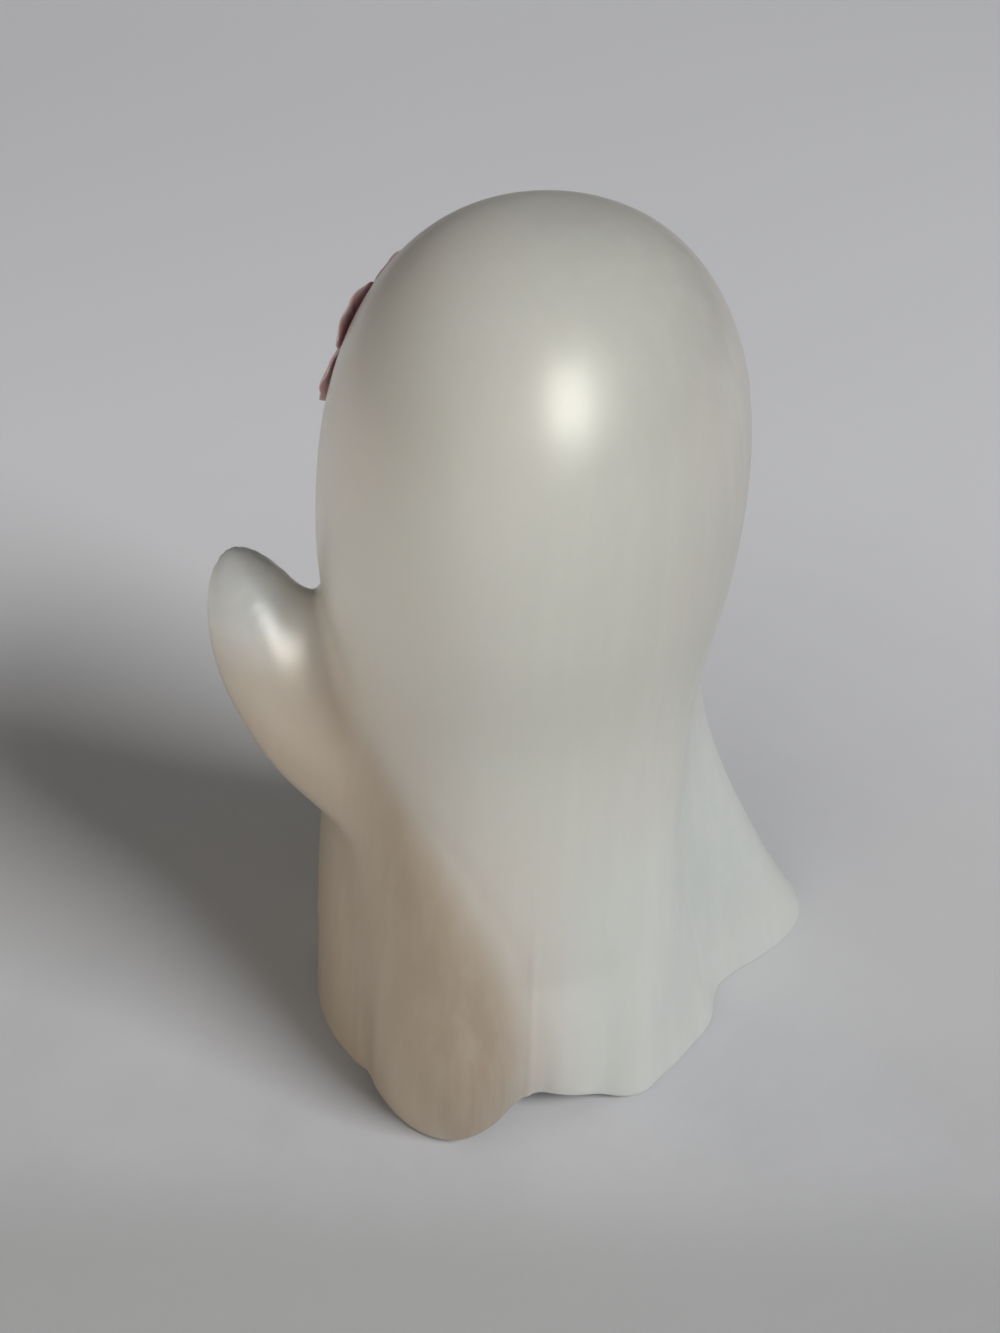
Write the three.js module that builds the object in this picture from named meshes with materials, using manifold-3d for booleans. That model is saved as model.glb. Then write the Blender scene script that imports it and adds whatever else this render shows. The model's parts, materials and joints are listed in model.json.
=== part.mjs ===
// A tabletop ghost figure: a hollow moulded plastic shell, a pinned-on flower and a battery light unit.
// Millimetres, +Z up. The ghost faces -Y and its raised left arm is on +X.

import * as THREE from "three";
import { mergeVertices } from "three/addons/utils/BufferGeometryUtils.js";
import Module from "manifold-3d";

const wasm = await Module();
wasm.setup();

// Fits
const gap = 0.3;
const looseFit = 0.6;

// Body of the figure
const figureTall = 180;
const headRadius = 39.8;
const headHeight = 119.9;
const domePower = 2.41;
const waistRadius = 37.7;
const waistHeight = 91.2;
const flareTall = 69.1;
const hemRadius = 42.2;
const topLean = 4.3;
const wall = 2;
const rimWall = 2.4;

// Reach of the sheet's main folds beyond the hem's radius, and the heights where they die out
const sweepReach = 28;
const sweepTall = 105.3;
const shoulderReach = 11.7;
const shoulderTall = 94.9;
const sideReach = 16.4;
const sideTall = 61.5;
const backReach = 6.7;
const backTall = 107;
const frontReach = 4.5;
const frontTall = 80;
const foldPower = 2;

// Folds of the sheet: azimuth and half width in degrees, reach at the hem, height where the fold dies out
const folds = [
  { at: 10, spread: 55, reach: 3.1, top: 43 },
  { at: 82, spread: 11.6, reach: 2.5, top: 85 },
  { at: 103.7, spread: 24.3, reach: backReach, top: backTall },
  { at: 139, spread: 33.5, reach: sideReach, top: sideTall },
  { at: 164.6, spread: 21.5, reach: shoulderReach, top: shoulderTall },
  { at: 178.3, spread: 42.7, reach: sweepReach, top: sweepTall },
  { at: 232, spread: 20, reach: 5, top: 88 },
  { at: 268, spread: 18, reach: frontReach, top: frontTall },
  { at: 310, spread: 24, reach: 6.5, top: 90 },
];
// Fold that the raised arm draws up, leaning over to the arm with height, and the sheet's swell beside it
const slantFold = { at: 52.7, left: 40.3, right: 22.5, reach: 10.1, top: 92, drift: 58, driftPower: 3 };
const hemSwell = { at: 62, spread: 58, reach: 3, top: 38 };
const creases = [
  { at: 67, spread: 6, depth: 1, top: 80 },
  { at: 24, spread: 6, depth: 0.8, top: 55 },
  { at: 146, spread: 34, depth: 9.7, top: 175 },
  { at: 250, spread: 8, depth: 1, top: 70 },
  { at: 287, spread: 8, depth: 1, top: 70 },
];
// Where the hem lifts off the table between two folds
const hemLifts = [
  { at: 28, spread: 13, rise: 1.5 },
  { at: 73.7, spread: 30, rise: 6.5 },
  { at: 208, spread: 14, rise: 2 },
  { at: 251, spread: 13, rise: 2 },
  { at: 288, spread: 13, rise: 2 },
  { at: 340, spread: 14, rise: 1.8 },
];

// Raised arm: a curve out from the body, up and forward, with oval sections
const armReach = 49.8;
const armForward = 27.1;
const armTall = 111.5;
const armElbowReach = 41.5;
const armElbowForward = 0.7;
const armElbowHeight = 64.7;
const armRootReach = 22.3;
const armRootHeight = 74;
const armRoot = new THREE.Vector3(armRootReach, 0, armRootHeight);
const armElbow = new THREE.Vector3(armElbowReach, -armElbowForward, armElbowHeight);
const armTip = new THREE.Vector3(armReach, -armForward, armTall);
const armRootHalf = 14.5;
const armTipHalf = 11.3;
const armFlatness = 0.78;
const armRounding = 0.29;
const armRoundPower = 2.18;

// Face: moulded hollows, which are painted
const faceDepth = 0.8;
const eyeWide = 10;
const eyeTall = 17;
const eyeApart = 26;
const eyeHeight = 131;
const mouthWide = 9;
const mouthTall = 12;
const mouthHeight = 107;

// Floor of the shell, raised inside the hem
const floorHeight = 11;
const floorThick = 2;

// Flower on the head
const flowerAzimuth = 306;
const flowerBelowTop = 30;
const flowerHeight = figureTall - flowerBelowTop;
const flowerRadius = 17;
const petalCount = 5;
const petalRadius = 6.6;
const petalThick = 1.2;
const petalTipRise = 1.4;
const pegRadius = 1.6;
const barbRadius = 2.3;
const pegBeyondWall = 3;
const budRadius = 4.2;
const budTall = 2.6;
const budStudRadius = 1.1;
const budStudLong = 0.9;

// Button cells, in a row along X
const cellCount = 3;
const cellRadius = 5.8;
const cellLong = 5.4;
const contactThick = 0.4;
const contactTabWide = 2.4;
const contactTabProud = 1;
const contactTabClear = 0.4;
const springLong = 2.2;
const springRadius = 4;
const springWire = 0.25;
const springTurns = 2.5;

// Light unit: plug, door and screws
const plugWall = 1.8;
const plugClear = 1.2;
const plugFloor = 2.6;
const flangeOver = 4.2;
const bayWall = 1.4;
const bayRoof = 1.2;
const doorThick = 1.8;
const doorRib = 0.9;
const doorRibApart = 5.2;
const doorRibWide = 1;
const doorLip = 1.5;
const bossRadius = 2.7;
const screwRadius = 1;
const screwHeadRadius = 2;
const screwHeadTall = 1.2;
const doorScrewLong = 8;
const circuitScrewLong = 6;
const lugCount = 3;
const lugAngle = 24;
const notchOverAngle = 4;
const lugReach = 2.5;
const lugTall = 2.2;
const unlockAngle = 35;

// Slide switch
const switchWide = 9;
const switchDeep = 4.6;
const switchTall = 4.2;
const switchEar = 5;
const switchClear = 1.4;
const switchEarThick = 1;
const switchTravel = 3;
const knobWide = 3;
const knobDeep = 2.2;
const knobProud = 1.5;
const sliderOver = 0.4;
const sliderTall = 1.6;
const terminalTall = 1.6;
const terminalApart = 2.5;
const terminalWide = 0.6;
const terminalDeep = 1;
const smallScrewRadius = 0.7;
const smallScrewHead = 1.5;
const smallScrewHeadTall = 0.9;
const smallScrewLong = 2.6;

// Circuit board, lamp and diffuser
const boardThick = 1.2;
const boardRim = 2.4;
const boardRise = 1.9;
const plugRimRise = 3;
const ledRadius = 2.5;
const ledTall = 7.5;
const ledFlange = 0.5;
const ledStandoff = 3;
const legSide = 0.5;
const legApart = 2.54;
const resistorRadius = 1.1;
const resistorLong = 6.2;
const wireRadius = 0.55;
const diffuserTall = 32;
const diffuserWall = 1.2;
const diffuserSkirt = 2.2;

// Facets
const bodySteps = 72;
const bodyRows = 22;
const innerSteps = 48;
const innerRows = 15;
const roundSteps = 40;
const smallSteps = 12;

// Sizes that follow from the ones above
const floorTop = floorHeight + floorThick;
const flangeTop = floorHeight - gap;
const plugBottom = flangeTop - plugFloor;
const doorTop = plugBottom + doorThick;
const cellMid = doorTop + doorRib + gap + cellRadius;
const rowLong = cellCount * cellLong + (cellCount - 1) * gap;
const bayLong = rowLong + springLong + 2 * contactThick + 5 * gap;
const bayWide = 2 * (cellRadius + gap);
const bayTop = cellMid + cellRadius + gap;
const roofTop = bayTop + bayRoof;
const bayEnd = bayLong / 2 + bayWall;
const baySide = bayWide / 2 + bayWall;
const doorScrewX = bayEnd + gap + bossRadius;
const switchY = baySide + switchClear + switchDeep / 2;
const earHalf = switchWide / 2 + switchEar;
const switchScrewX = switchWide / 2 + switchEar / 2;
const plugInner = Math.max(
  doorScrewX + bossRadius,
  Math.hypot(earHalf, switchY + switchDeep / 2),
) + plugClear;
const plugRadius = plugInner + plugWall;
const mouthRadius = plugRadius + looseFit;
const flangeRadius = mouthRadius + flangeOver;
const boardBottom = roofTop + boardRise;
const boardTop = boardBottom + boardThick;
const boardRadius = plugInner - boardRim;
const boardBossRadial = plugInner - bossRadius - 1;
const switchCorner = Math.atan2(switchY - switchDeep / 2, earHalf);
const boardBossAngle = (switchCorner + Math.atan2(bossRadius, doorScrewX)) / 2;
const plugTop = boardTop + plugRimRise;
const switchBottom = flangeTop + gap;
const degree = Math.PI / 180;

// Solids and geometries

function toSolid(geometry) {
  const bare = new THREE.BufferGeometry();
  bare.setAttribute("position", geometry.getAttribute("position"));
  bare.setIndex(geometry.index);
  const merged = mergeVertices(bare, 1e-4);
  return new wasm.Manifold(
    new wasm.Mesh({
      numProp: 3,
      vertProperties: new Float32Array(merged.attributes.position.array),
      triVerts: new Uint32Array(merged.index.array),
    }),
  );
}

function toGeometry(solid) {
  const mesh = solid.getMesh();
  const geometry = new THREE.BufferGeometry();
  geometry.setAttribute("position", new THREE.BufferAttribute(mesh.vertProperties, 3));
  geometry.setIndex(new THREE.BufferAttribute(mesh.triVerts, 1));
  const facets = geometry.toNonIndexed();
  facets.computeVertexNormals();
  return facets;
}

function joined(parts) {
  return parts.reduce((whole, part) => whole.add(part));
}

function block(x0, x1, y0, y1, z0, z1) {
  const box = new THREE.BoxGeometry(x1 - x0, y1 - y0, z1 - z0);
  box.translate((x0 + x1) / 2, (y0 + y1) / 2, (z0 + z1) / 2);
  return toSolid(box);
}

function rod(radius, z0, z1, x = 0, y = 0, steps = smallSteps) {
  const cylinder = new THREE.CylinderGeometry(radius, radius, z1 - z0, steps);
  cylinder.rotateX(Math.PI / 2);
  cylinder.translate(x, y, (z0 + z1) / 2);
  return toSolid(cylinder);
}

// Turned piece about Z from a profile of [radius, height] points, listed from the bottom up its outside
function turned(profile, steps = roundSteps) {
  const points = profile.map(([radius, height]) => new THREE.Vector2(radius, height));
  const lathe = new THREE.LatheGeometry(points, steps);
  lathe.rotateX(Math.PI / 2);
  return toSolid(lathe);
}

// Sector of a ring between two radii, centred on an angle in degrees
function sector(inner, outer, middle, width, z0, z1) {
  const shape = new THREE.Shape();
  const start = (middle - width / 2) * degree;
  const end = (middle + width / 2) * degree;
  shape.absarc(0, 0, outer, start, end, false);
  shape.absarc(0, 0, inner, end, start, true);
  const plate = new THREE.ExtrudeGeometry(shape, { depth: z1 - z0, bevelEnabled: false, curveSegments: 6 });
  plate.translate(0, 0, z0);
  return toSolid(plate);
}

// Closed skin over rings of points: ring(row, step) gives a point, and both ends close on their own centre
function skinned(rows, steps, ring, bottom, top) {
  const positions = [];
  for (let row = 0; row <= rows; row += 1) {
    for (let step = 0; step < steps; step += 1) {
      positions.push(...ring(row, step).toArray());
    }
  }
  const low = positions.length / 3;
  positions.push(...bottom.toArray(), ...top.toArray());
  const faces = [];
  for (let step = 0; step < steps; step += 1) {
    const next = (step + 1) % steps;
    faces.push(low, next, step);
    faces.push(low + 1, rows * steps + step, rows * steps + next);
    for (let row = 0; row < rows; row += 1) {
      const here = row * steps;
      const above = here + steps;
      faces.push(here + step, here + next, above + next);
      faces.push(here + step, above + next, above + step);
    }
  }
  const geometry = new THREE.BufferGeometry();
  geometry.setAttribute("position", new THREE.Float32BufferAttribute(positions, 3));
  geometry.setIndex(faces);
  return toSolid(geometry);
}

// Shape of the sheet

function turnBetween(a, b) {
  return ((((a - b) % 360) + 540) % 360) - 180;
}

function bell(angle, spread) {
  const share = Math.min(Math.abs(angle) / spread, 1);
  return 0.5 + 0.5 * Math.cos(Math.PI * share);
}

function smooth(value) {
  const t = THREE.MathUtils.clamp(value, 0, 1);
  return t * t * (3 - 2 * t);
}

function profileRadius(z, inset) {
  if (z >= headHeight) {
    const t = Math.min((z - headHeight) / (figureTall - inset - headHeight), 1);
    return (headRadius - inset) * Math.pow(1 - Math.pow(t, domePower), 1 / domePower);
  }
  if (z >= waistHeight) {
    const t = (z - waistHeight) / (headHeight - waistHeight);
    return waistRadius + (headRadius - waistRadius) * smooth(t) - inset;
  }
  const flare = smooth((waistHeight - z) / flareTall);
  return waistRadius + (hemRadius - waistRadius) * flare - inset;
}

function drapeReach(azimuth, z) {
  let reach = 0;
  for (const fold of folds) {
    const fade = Math.pow(Math.max((fold.top - z) / fold.top, 0), foldPower);
    reach += fold.reach * bell(turnBetween(azimuth, fold.at), fold.spread) * fade;
  }
  for (const crease of creases) {
    const fade = Math.pow(Math.max((crease.top - z) / crease.top, 0), foldPower);
    reach -= crease.depth * bell(turnBetween(azimuth, crease.at), crease.spread) * fade;
  }
  const up = Math.min(z / slantFold.top, 1);
  const away = turnBetween(azimuth, slantFold.at - slantFold.drift * Math.pow(up, slantFold.driftPower));
  reach += slantFold.reach * smooth(1 - up) * bell(away, away < 0 ? slantFold.left : slantFold.right);
  const swelling = Math.sin(Math.PI * Math.min(z / hemSwell.top, 1));
  reach += hemSwell.reach * swelling * bell(turnBetween(azimuth, hemSwell.at), hemSwell.spread);
  return reach;
}

function hemHeight(azimuth) {
  return hemLifts.reduce((height, lift) => {
    return height + lift.rise * bell(turnBetween(azimuth, lift.at), lift.spread);
  }, 0);
}

function leanAt(z) {
  const share = Math.max(z, 0) / figureTall;
  return -topLean * share * share;
}

function bodyPoint(azimuth, z, inset) {
  const radius = Math.max(profileRadius(z, inset) + drapeReach(azimuth, Math.max(z, 0)), 0);
  const turn = azimuth * degree;
  return new THREE.Vector3(radius * Math.cos(turn) + leanAt(z), radius * Math.sin(turn), z);
}

// Body solid from a floor up to the dome, with its skin set in by an inset
function bodySolid(inset, steps, rows, floorAt, floorMiddle) {
  const top = figureTall - inset;
  const ring = (row, step) => {
    const azimuth = (360 * step) / steps;
    const low = floorAt(azimuth);
    const share = Math.sin(((row / (rows + 1)) * Math.PI) / 2);
    return bodyPoint(azimuth, low + (top - low) * share, inset);
  };
  const apex = new THREE.Vector3(leanAt(top), 0, top);
  return skinned(rows, steps, ring, new THREE.Vector3(0, 0, floorMiddle), apex);
}

function armSolid(inset, steps, rows) {
  const path = new THREE.QuadraticBezierCurve3(armRoot, armElbow, armTip);
  const reach = 1 - inset / path.getLength();
  const upper = armTip.clone().sub(armRoot);
  const flatSide = upper.cross(armElbow.clone().sub(armRoot)).normalize();
  const sectionAt = (share) => {
    const middle = path.getPoint(share * reach);
    const wideSide = flatSide.clone().cross(path.getTangent(share * reach));
    const rounding = Math.max((share - 1 + armRounding) / armRounding, 0);
    const end = Math.sqrt(Math.max(1 - Math.pow(rounding, armRoundPower), 0));
    const half = (armRootHalf + (armTipHalf - armRootHalf) * share - inset) * end;
    return { middle, wideSide, half };
  };
  const leaned = (point) => point.setX(point.x + leanAt(point.z));
  const ring = (row, step) => {
    const share = Math.sin(((row / (rows + 1)) * Math.PI) / 2);
    const { middle, wideSide, half } = sectionAt(share);
    const turn = (2 * Math.PI * step) / steps;
    const thick = Math.max((half + inset) * armFlatness - inset, half * 0.1);
    middle.addScaledVector(wideSide, half * Math.cos(turn));
    middle.addScaledVector(flatSide, thick * Math.sin(turn));
    return leaned(middle);
  };
  return skinned(rows, steps, ring, leaned(armRoot.clone()), leaned(sectionAt(1).middle));
}

// Oval bar that runs out through the face
function faceBar(wide, tall, x, z) {
  const shape = new THREE.Shape();
  shape.absellipse(0, 0, wide / 2, tall / 2, 0, 2 * Math.PI, false);
  const bar = new THREE.ExtrudeGeometry(shape, { depth: 60, bevelEnabled: false, curveSegments: 10 });
  bar.rotateX(Math.PI / 2);
  bar.translate(x, -10, z);
  return toSolid(bar);
}

// Place of the flower on the head

function headNormal(azimuth, z) {
  const here = bodyPoint(azimuth, z, 0);
  const round = bodyPoint(azimuth + 0.5, z, 0).sub(here);
  const rise = bodyPoint(azimuth, z + 0.2, 0).sub(here);
  return round.cross(rise).normalize();
}

// Point over the head, from distances along the skin round and up from the flower's middle
function overHead(round, up, lift) {
  const strides = 8;
  let z = flowerHeight;
  for (let stride = 0; stride < strides; stride += 1) {
    const slope = headNormal(flowerAzimuth, z).z;
    z += (up / strides) * Math.sqrt(1 - slope * slope);
  }
  const azimuth = flowerAzimuth + round / profileRadius(z, 0) / degree;
  return bodyPoint(azimuth, z, 0).addScaledVector(headNormal(azimuth, z), lift);
}

function flowerFrame() {
  const outward = headNormal(flowerAzimuth, flowerHeight);
  const side = new THREE.Vector3(0, 0, 1).cross(outward).normalize();
  const up = outward.clone().cross(side);
  const frame = new THREE.Matrix4().makeBasis(side, up, outward);
  frame.setPosition(bodyPoint(flowerAzimuth, flowerHeight, 0));
  return frame;
}

function inFlowerFrame(geometry) {
  geometry.applyMatrix4(flowerFrame());
  return toSolid(geometry);
}

function flowerRod(profile) {
  const points = profile.map(([radius, height]) => new THREE.Vector2(radius, height));
  const lathe = new THREE.LatheGeometry(points, smallSteps);
  lathe.rotateX(Math.PI / 2);
  return inFlowerFrame(lathe);
}

// Edge of the petals: five circles round the middle
function petalEdge(turn) {
  const each = (2 * Math.PI) / petalCount;
  const middle = Math.round(turn / each) * each;
  const off = turn - middle;
  const centre = flowerRadius - petalRadius;
  const side = centre * Math.sin(off);
  const depth = Math.sqrt(Math.max(petalRadius * petalRadius - side * side, 0.5));
  return centre * Math.cos(off) + depth;
}

// The shell

function makeShell() {
  const outer = bodySolid(0, bodySteps, bodyRows, hemHeight, 0).add(armSolid(0, 20, 11));
  const floorAt = () => floorTop;
  const hollow = bodySolid(wall, innerSteps, innerRows, floorAt, floorTop).add(armSolid(wall, 14, 8));
  const recessRows = 2;
  const recessRing = (row, step) => {
    const z = -1 + ((floorHeight + 1) * row) / recessRows;
    return bodyPoint((360 * step) / bodySteps, z, rimWall);
  };
  const recess = skinned(
    recessRows,
    bodySteps,
    recessRing,
    new THREE.Vector3(0, 0, -1),
    new THREE.Vector3(0, 0, floorHeight),
  );
  let shell = outer.subtract(hollow).subtract(recess);
  shell = shell.subtract(rod(mouthRadius, floorHeight - 1, floorTop + 1, 0, 0, roundSteps));
  for (let lug = 0; lug < lugCount; lug += 1) {
    const middle = (360 * lug) / lugCount + unlockAngle;
    const reach = mouthRadius + lugReach;
    const width = lugAngle + notchOverAngle;
    const notch = sector(mouthRadius - 3, reach, middle, width, floorHeight - 1, floorTop + 1);
    shell = shell.subtract(notch);
  }
  const face = joined([
    faceBar(eyeWide, eyeTall, -eyeApart / 2, eyeHeight),
    faceBar(eyeWide, eyeTall, eyeApart / 2, eyeHeight),
    faceBar(mouthWide, mouthTall, 0, mouthHeight),
  ]);
  shell = shell.subtract(face.subtract(bodySolid(faceDepth, bodySteps, bodyRows, floorAt, floorTop)));
  const pegHole = flowerRod([
    [0, -2 * wall - 2],
    [pegRadius + gap, -2 * wall - 2],
    [pegRadius + gap, 2],
    [0, 2],
  ]);
  return shell.subtract(pegHole);
}

// The flower

function makePetals() {
  const steps = petalCount * 6;
  const rings = 3;
  const liftAt = (share, turn) => {
    const fold = Math.abs(Math.cos((petalCount * turn) / 2));
    return gap + petalTipRise * share * share * fold;
  };
  const ring = (row, step) => {
    const turn = (2 * Math.PI * step) / steps;
    const under = row < rings;
    const share = under ? (row + 1) / rings : (2 * rings - row) / rings;
    const radius = petalEdge(turn) * share;
    const lift = liftAt(share, turn) + (under ? 0 : petalThick);
    return overHead(-radius * Math.sin(turn), radius * Math.cos(turn), lift);
  };
  const blades = skinned(2 * rings - 1, steps, ring, overHead(0, 0, gap), overHead(0, 0, gap + petalThick));
  const inside = wall + gap;
  const peg = flowerRod([
    [0, -inside - pegBeyondWall],
    [pegRadius * 0.6, -inside - pegBeyondWall],
    [barbRadius, -inside - 0.4],
    [barbRadius, -inside],
    [pegRadius, -inside],
    [pegRadius, gap + petalThick * 0.6],
    [0, gap + petalThick * 0.6],
  ]);
  const middle = flowerRod([
    [0, gap + 0.1],
    [budRadius, gap + 0.1],
    [budRadius, gap + petalThick + 0.6],
    [0, gap + petalThick + 0.6],
  ]);
  const studHole = flowerRod([
    [0, gap + petalThick + 0.6 - budStudLong - gap],
    [budStudRadius + gap, gap + petalThick + 0.6 - budStudLong - gap],
    [budStudRadius + gap, gap + petalThick + 2],
    [0, gap + petalThick + 2],
  ]);
  return joined([blades, peg, middle]).subtract(studHole);
}

function makeBud() {
  const seat = petalThick + 0.6 + 2 * gap;
  const dome = [];
  const bends = 5;
  for (let bend = 0; bend <= bends; bend += 1) {
    const turn = ((bend / bends) * Math.PI) / 2;
    dome.push([budRadius * Math.cos(turn), seat + budTall * Math.sin(turn)]);
  }
  dome[bends][0] = 0;
  const studEnd = seat - budStudLong;
  return flowerRod([[0, studEnd], [budStudRadius, studEnd], [budStudRadius, seat], ...dome]);
}

// The light unit

function boardBosses() {
  return [boardBossAngle, boardBossAngle + Math.PI].map((turn) => {
    return [boardBossRadial * Math.cos(turn) * -1, boardBossRadial * Math.sin(turn)];
  });
}

function makePlug() {
  let plug = rod(flangeRadius, plugBottom, flangeTop, 0, 0, roundSteps);
  plug = plug.add(rod(plugRadius, plugBottom + 0.5, plugTop, 0, 0, roundSteps));
  plug = plug.subtract(rod(plugInner, flangeTop, plugTop + 1, 0, 0, roundSteps));
  for (let lug = 0; lug < lugCount; lug += 1) {
    const bottom = floorTop + gap;
    const reach = mouthRadius + lugReach - looseFit;
    const middle = (360 * lug) / lugCount;
    plug = plug.add(sector(plugInner + 0.5, reach, middle, lugAngle, bottom, bottom + lugTall));
  }
  plug = plug.add(block(-bayEnd, bayEnd, -baySide, baySide, plugBottom + 1, roofTop));
  const doorBoss = plugBottom + doorScrewLong + 3;
  for (const side of [-1, 1]) {
    plug = plug.add(rod(bossRadius, plugBottom + 1, doorBoss, side * doorScrewX, 0));
  }
  for (const [x, y] of boardBosses()) {
    plug = plug.add(rod(bossRadius - 0.5, plugBottom + 1, boardBottom - gap, x, y));
    plug = plug.subtract(rod(screwRadius + gap, boardBottom - circuitScrewLong - 1, boardBottom, x, y));
  }
  const doorHalf = doorScrewX + screwHeadRadius + doorLip;
  const bayHalf = bayWide / 2;
  plug = plug.subtract(
    block(-doorHalf - gap, doorHalf + gap, -baySide - gap, baySide + gap, plugBottom - 1, doorTop + gap),
  );
  plug = plug.subtract(block(-bayLong / 2, bayLong / 2, -bayHalf, bayHalf, plugBottom - 1, bayTop));
  const tabThick = contactThick / 2 + contactTabClear;
  const tabHalf = contactTabWide / 2 + contactTabClear;
  for (const side of [-1, 1]) {
    plug = plug.subtract(
      rod(screwRadius + gap, plugBottom, plugBottom + doorScrewLong + 1, side * doorScrewX, 0),
    );
    plug = plug.subtract(
      rod(smallScrewRadius + gap, flangeTop - 1.8, flangeTop + 1, side * switchScrewX, switchY, 12),
    );
    const plate = side * (bayLong / 2 - gap - contactThick / 2);
    plug = plug.subtract(
      block(plate - tabThick, plate + tabThick, -tabHalf, tabHalf, bayTop - 1, roofTop + 1),
    );
  }
  const slotHalf = (knobWide + switchTravel) / 2 + gap;
  const slotSide = knobDeep / 2 + gap;
  return plug.subtract(
    block(-slotHalf, slotHalf, switchY - slotSide, switchY + slotSide, plugBottom - 1, flangeTop + 1),
  );
}

function makeDoor() {
  const half = doorScrewX + screwHeadRadius + doorLip;
  let door = block(-half, half, -baySide, baySide, plugBottom, doorTop);
  const ribHalf = doorRibWide / 2;
  for (const y of [-doorRibApart / 2, doorRibApart / 2]) {
    door = door.add(block(-rowLong / 2, rowLong / 2, y - ribHalf, y + ribHalf, doorTop - 0.2, ribTop(y)));
  }
  for (const side of [-1, 1]) {
    const x = side * doorScrewX;
    door = door.subtract(rod(screwRadius + gap, plugBottom - 1, doorTop + 1, x, 0));
    door = door.subtract(rod(screwHeadRadius + gap, plugBottom - 1, plugBottom + screwHeadTall, x, 0));
  }
  return door;
}

// Height of a door rib that stays clear of the round cells over it
function ribTop(y) {
  const reach = Math.abs(y) - doorRibWide / 2;
  return cellMid - Math.sqrt(cellRadius * cellRadius - reach * reach) - gap;
}

// Screw with its head at the bottom when headDown is 1 and on top when it is -1
function screw(x, y, seat, radius, headRadius, headTall, long, headDown) {
  const profile = [
    [0, 0],
    [headRadius * 0.8, 0],
    [headRadius, headTall * 0.4],
    [headRadius, headTall],
    [radius, headTall],
    [radius, headTall + long - radius],
    [0, headTall + long],
  ];
  let solid = turned(profile, smallSteps);
  const arm = headRadius * 0.6;
  const slot = headRadius * 0.13;
  const depth = headTall * 0.5;
  solid = solid.subtract(block(-arm, arm, -slot, slot, -1, depth));
  solid = solid.subtract(block(-slot, slot, -arm, arm, -1, depth));
  if (headDown < 0) {
    solid = solid.rotate([180, 0, 0]);
  }
  return solid.translate([x, y, seat - headDown * headTall]);
}

function makeCell(index) {
  const start = -bayLong / 2 + 2 * gap + contactThick + index * (cellLong + gap);
  const lip = 0.35;
  const cell = turned([
    [0, 0],
    [cellRadius - 0.9, 0],
    [cellRadius - 0.9, lip],
    [cellRadius, lip + 0.4],
    [cellRadius, cellLong - 0.3],
    [cellRadius - 0.3, cellLong],
    [0, cellLong],
  ], 24);
  // The can, which is the plus side, faces -X
  return cell.rotate([0, -90, 0]).translate([start + cellLong, 0, cellMid]);
}

// Contact plate against one end of the bay, with a tab up through the roof
function makePlate(side) {
  const outer = bayLong / 2 - gap;
  const inner = outer - contactThick;
  const x0 = Math.min(side * outer, side * inner);
  const x1 = Math.max(side * outer, side * inner);
  const low = doorTop + 2 * gap;
  const plate = block(x0, x1, -cellRadius * 0.8, cellRadius * 0.8, low, bayTop - gap);
  const tabHalf = contactTabWide / 2;
  return plate.add(block(x0, x1, -tabHalf, tabHalf, bayTop - 2, roofTop + contactTabProud));
}

class SpringCurve extends THREE.Curve {
  getPoint(share, target = new THREE.Vector3()) {
    const start = bayLong / 2 - 2 * gap - contactThick - springWire;
    const turn = 2 * Math.PI * springTurns * share;
    const radius = springRadius * (1 - share / 2);
    const x = start - (springLong - 2 * springWire) * share;
    return target.set(x, radius * Math.cos(turn), cellMid + radius * Math.sin(turn));
  }
}

// Round tube along a curve
function tube(curve, radius, steps, sides) {
  const shape = new THREE.Shape();
  for (let side = 0; side < sides; side += 1) {
    const turn = (2 * Math.PI * side) / sides;
    shape[side === 0 ? "moveTo" : "lineTo"](radius * Math.cos(turn), radius * Math.sin(turn));
  }
  return toSolid(new THREE.ExtrudeGeometry(shape, { steps, extrudePath: curve, bevelEnabled: false }));
}

function makeSpring() {
  return tube(new SpringCurve(), springWire, 30, 6);
}

function makeBoard() {
  let board = rod(boardRadius, boardBottom, boardTop, 0, 0, 36);
  for (const [x, y] of boardBosses()) {
    board = board.subtract(rod(screwRadius + gap, boardBottom - 1, boardTop + 1, x, y, 12));
  }
  for (const side of [-1, 1]) {
    const leg = (side * legApart) / 2;
    const half = legSide / 2 + gap;
    board = board.subtract(block(leg - half, leg + half, -half, half, boardBottom - 1, boardTop + 1));
  }
  return board;
}

function makeLens() {
  const base = boardTop + ledStandoff;
  const dome = [];
  const bends = 5;
  for (let bend = 0; bend < bends; bend += 1) {
    const turn = ((bend / bends) * Math.PI) / 2;
    dome.push([ledRadius * Math.cos(turn), base + ledTall - ledRadius + ledRadius * Math.sin(turn)]);
  }
  return turned([
    [0, base],
    [ledRadius + ledFlange, base],
    [ledRadius + ledFlange, base + 1],
    [ledRadius, base + 1],
    ...dome,
    [0, base + ledTall],
  ], 20);
}

function makeLeg(side) {
  const x = (side * legApart) / 2;
  const half = legSide / 2;
  const top = boardTop + ledStandoff - gap;
  return block(x - half, x + half, -half, half, boardBottom - 0.8 - (side > 0 ? 0.2 : 0), top);
}

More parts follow.
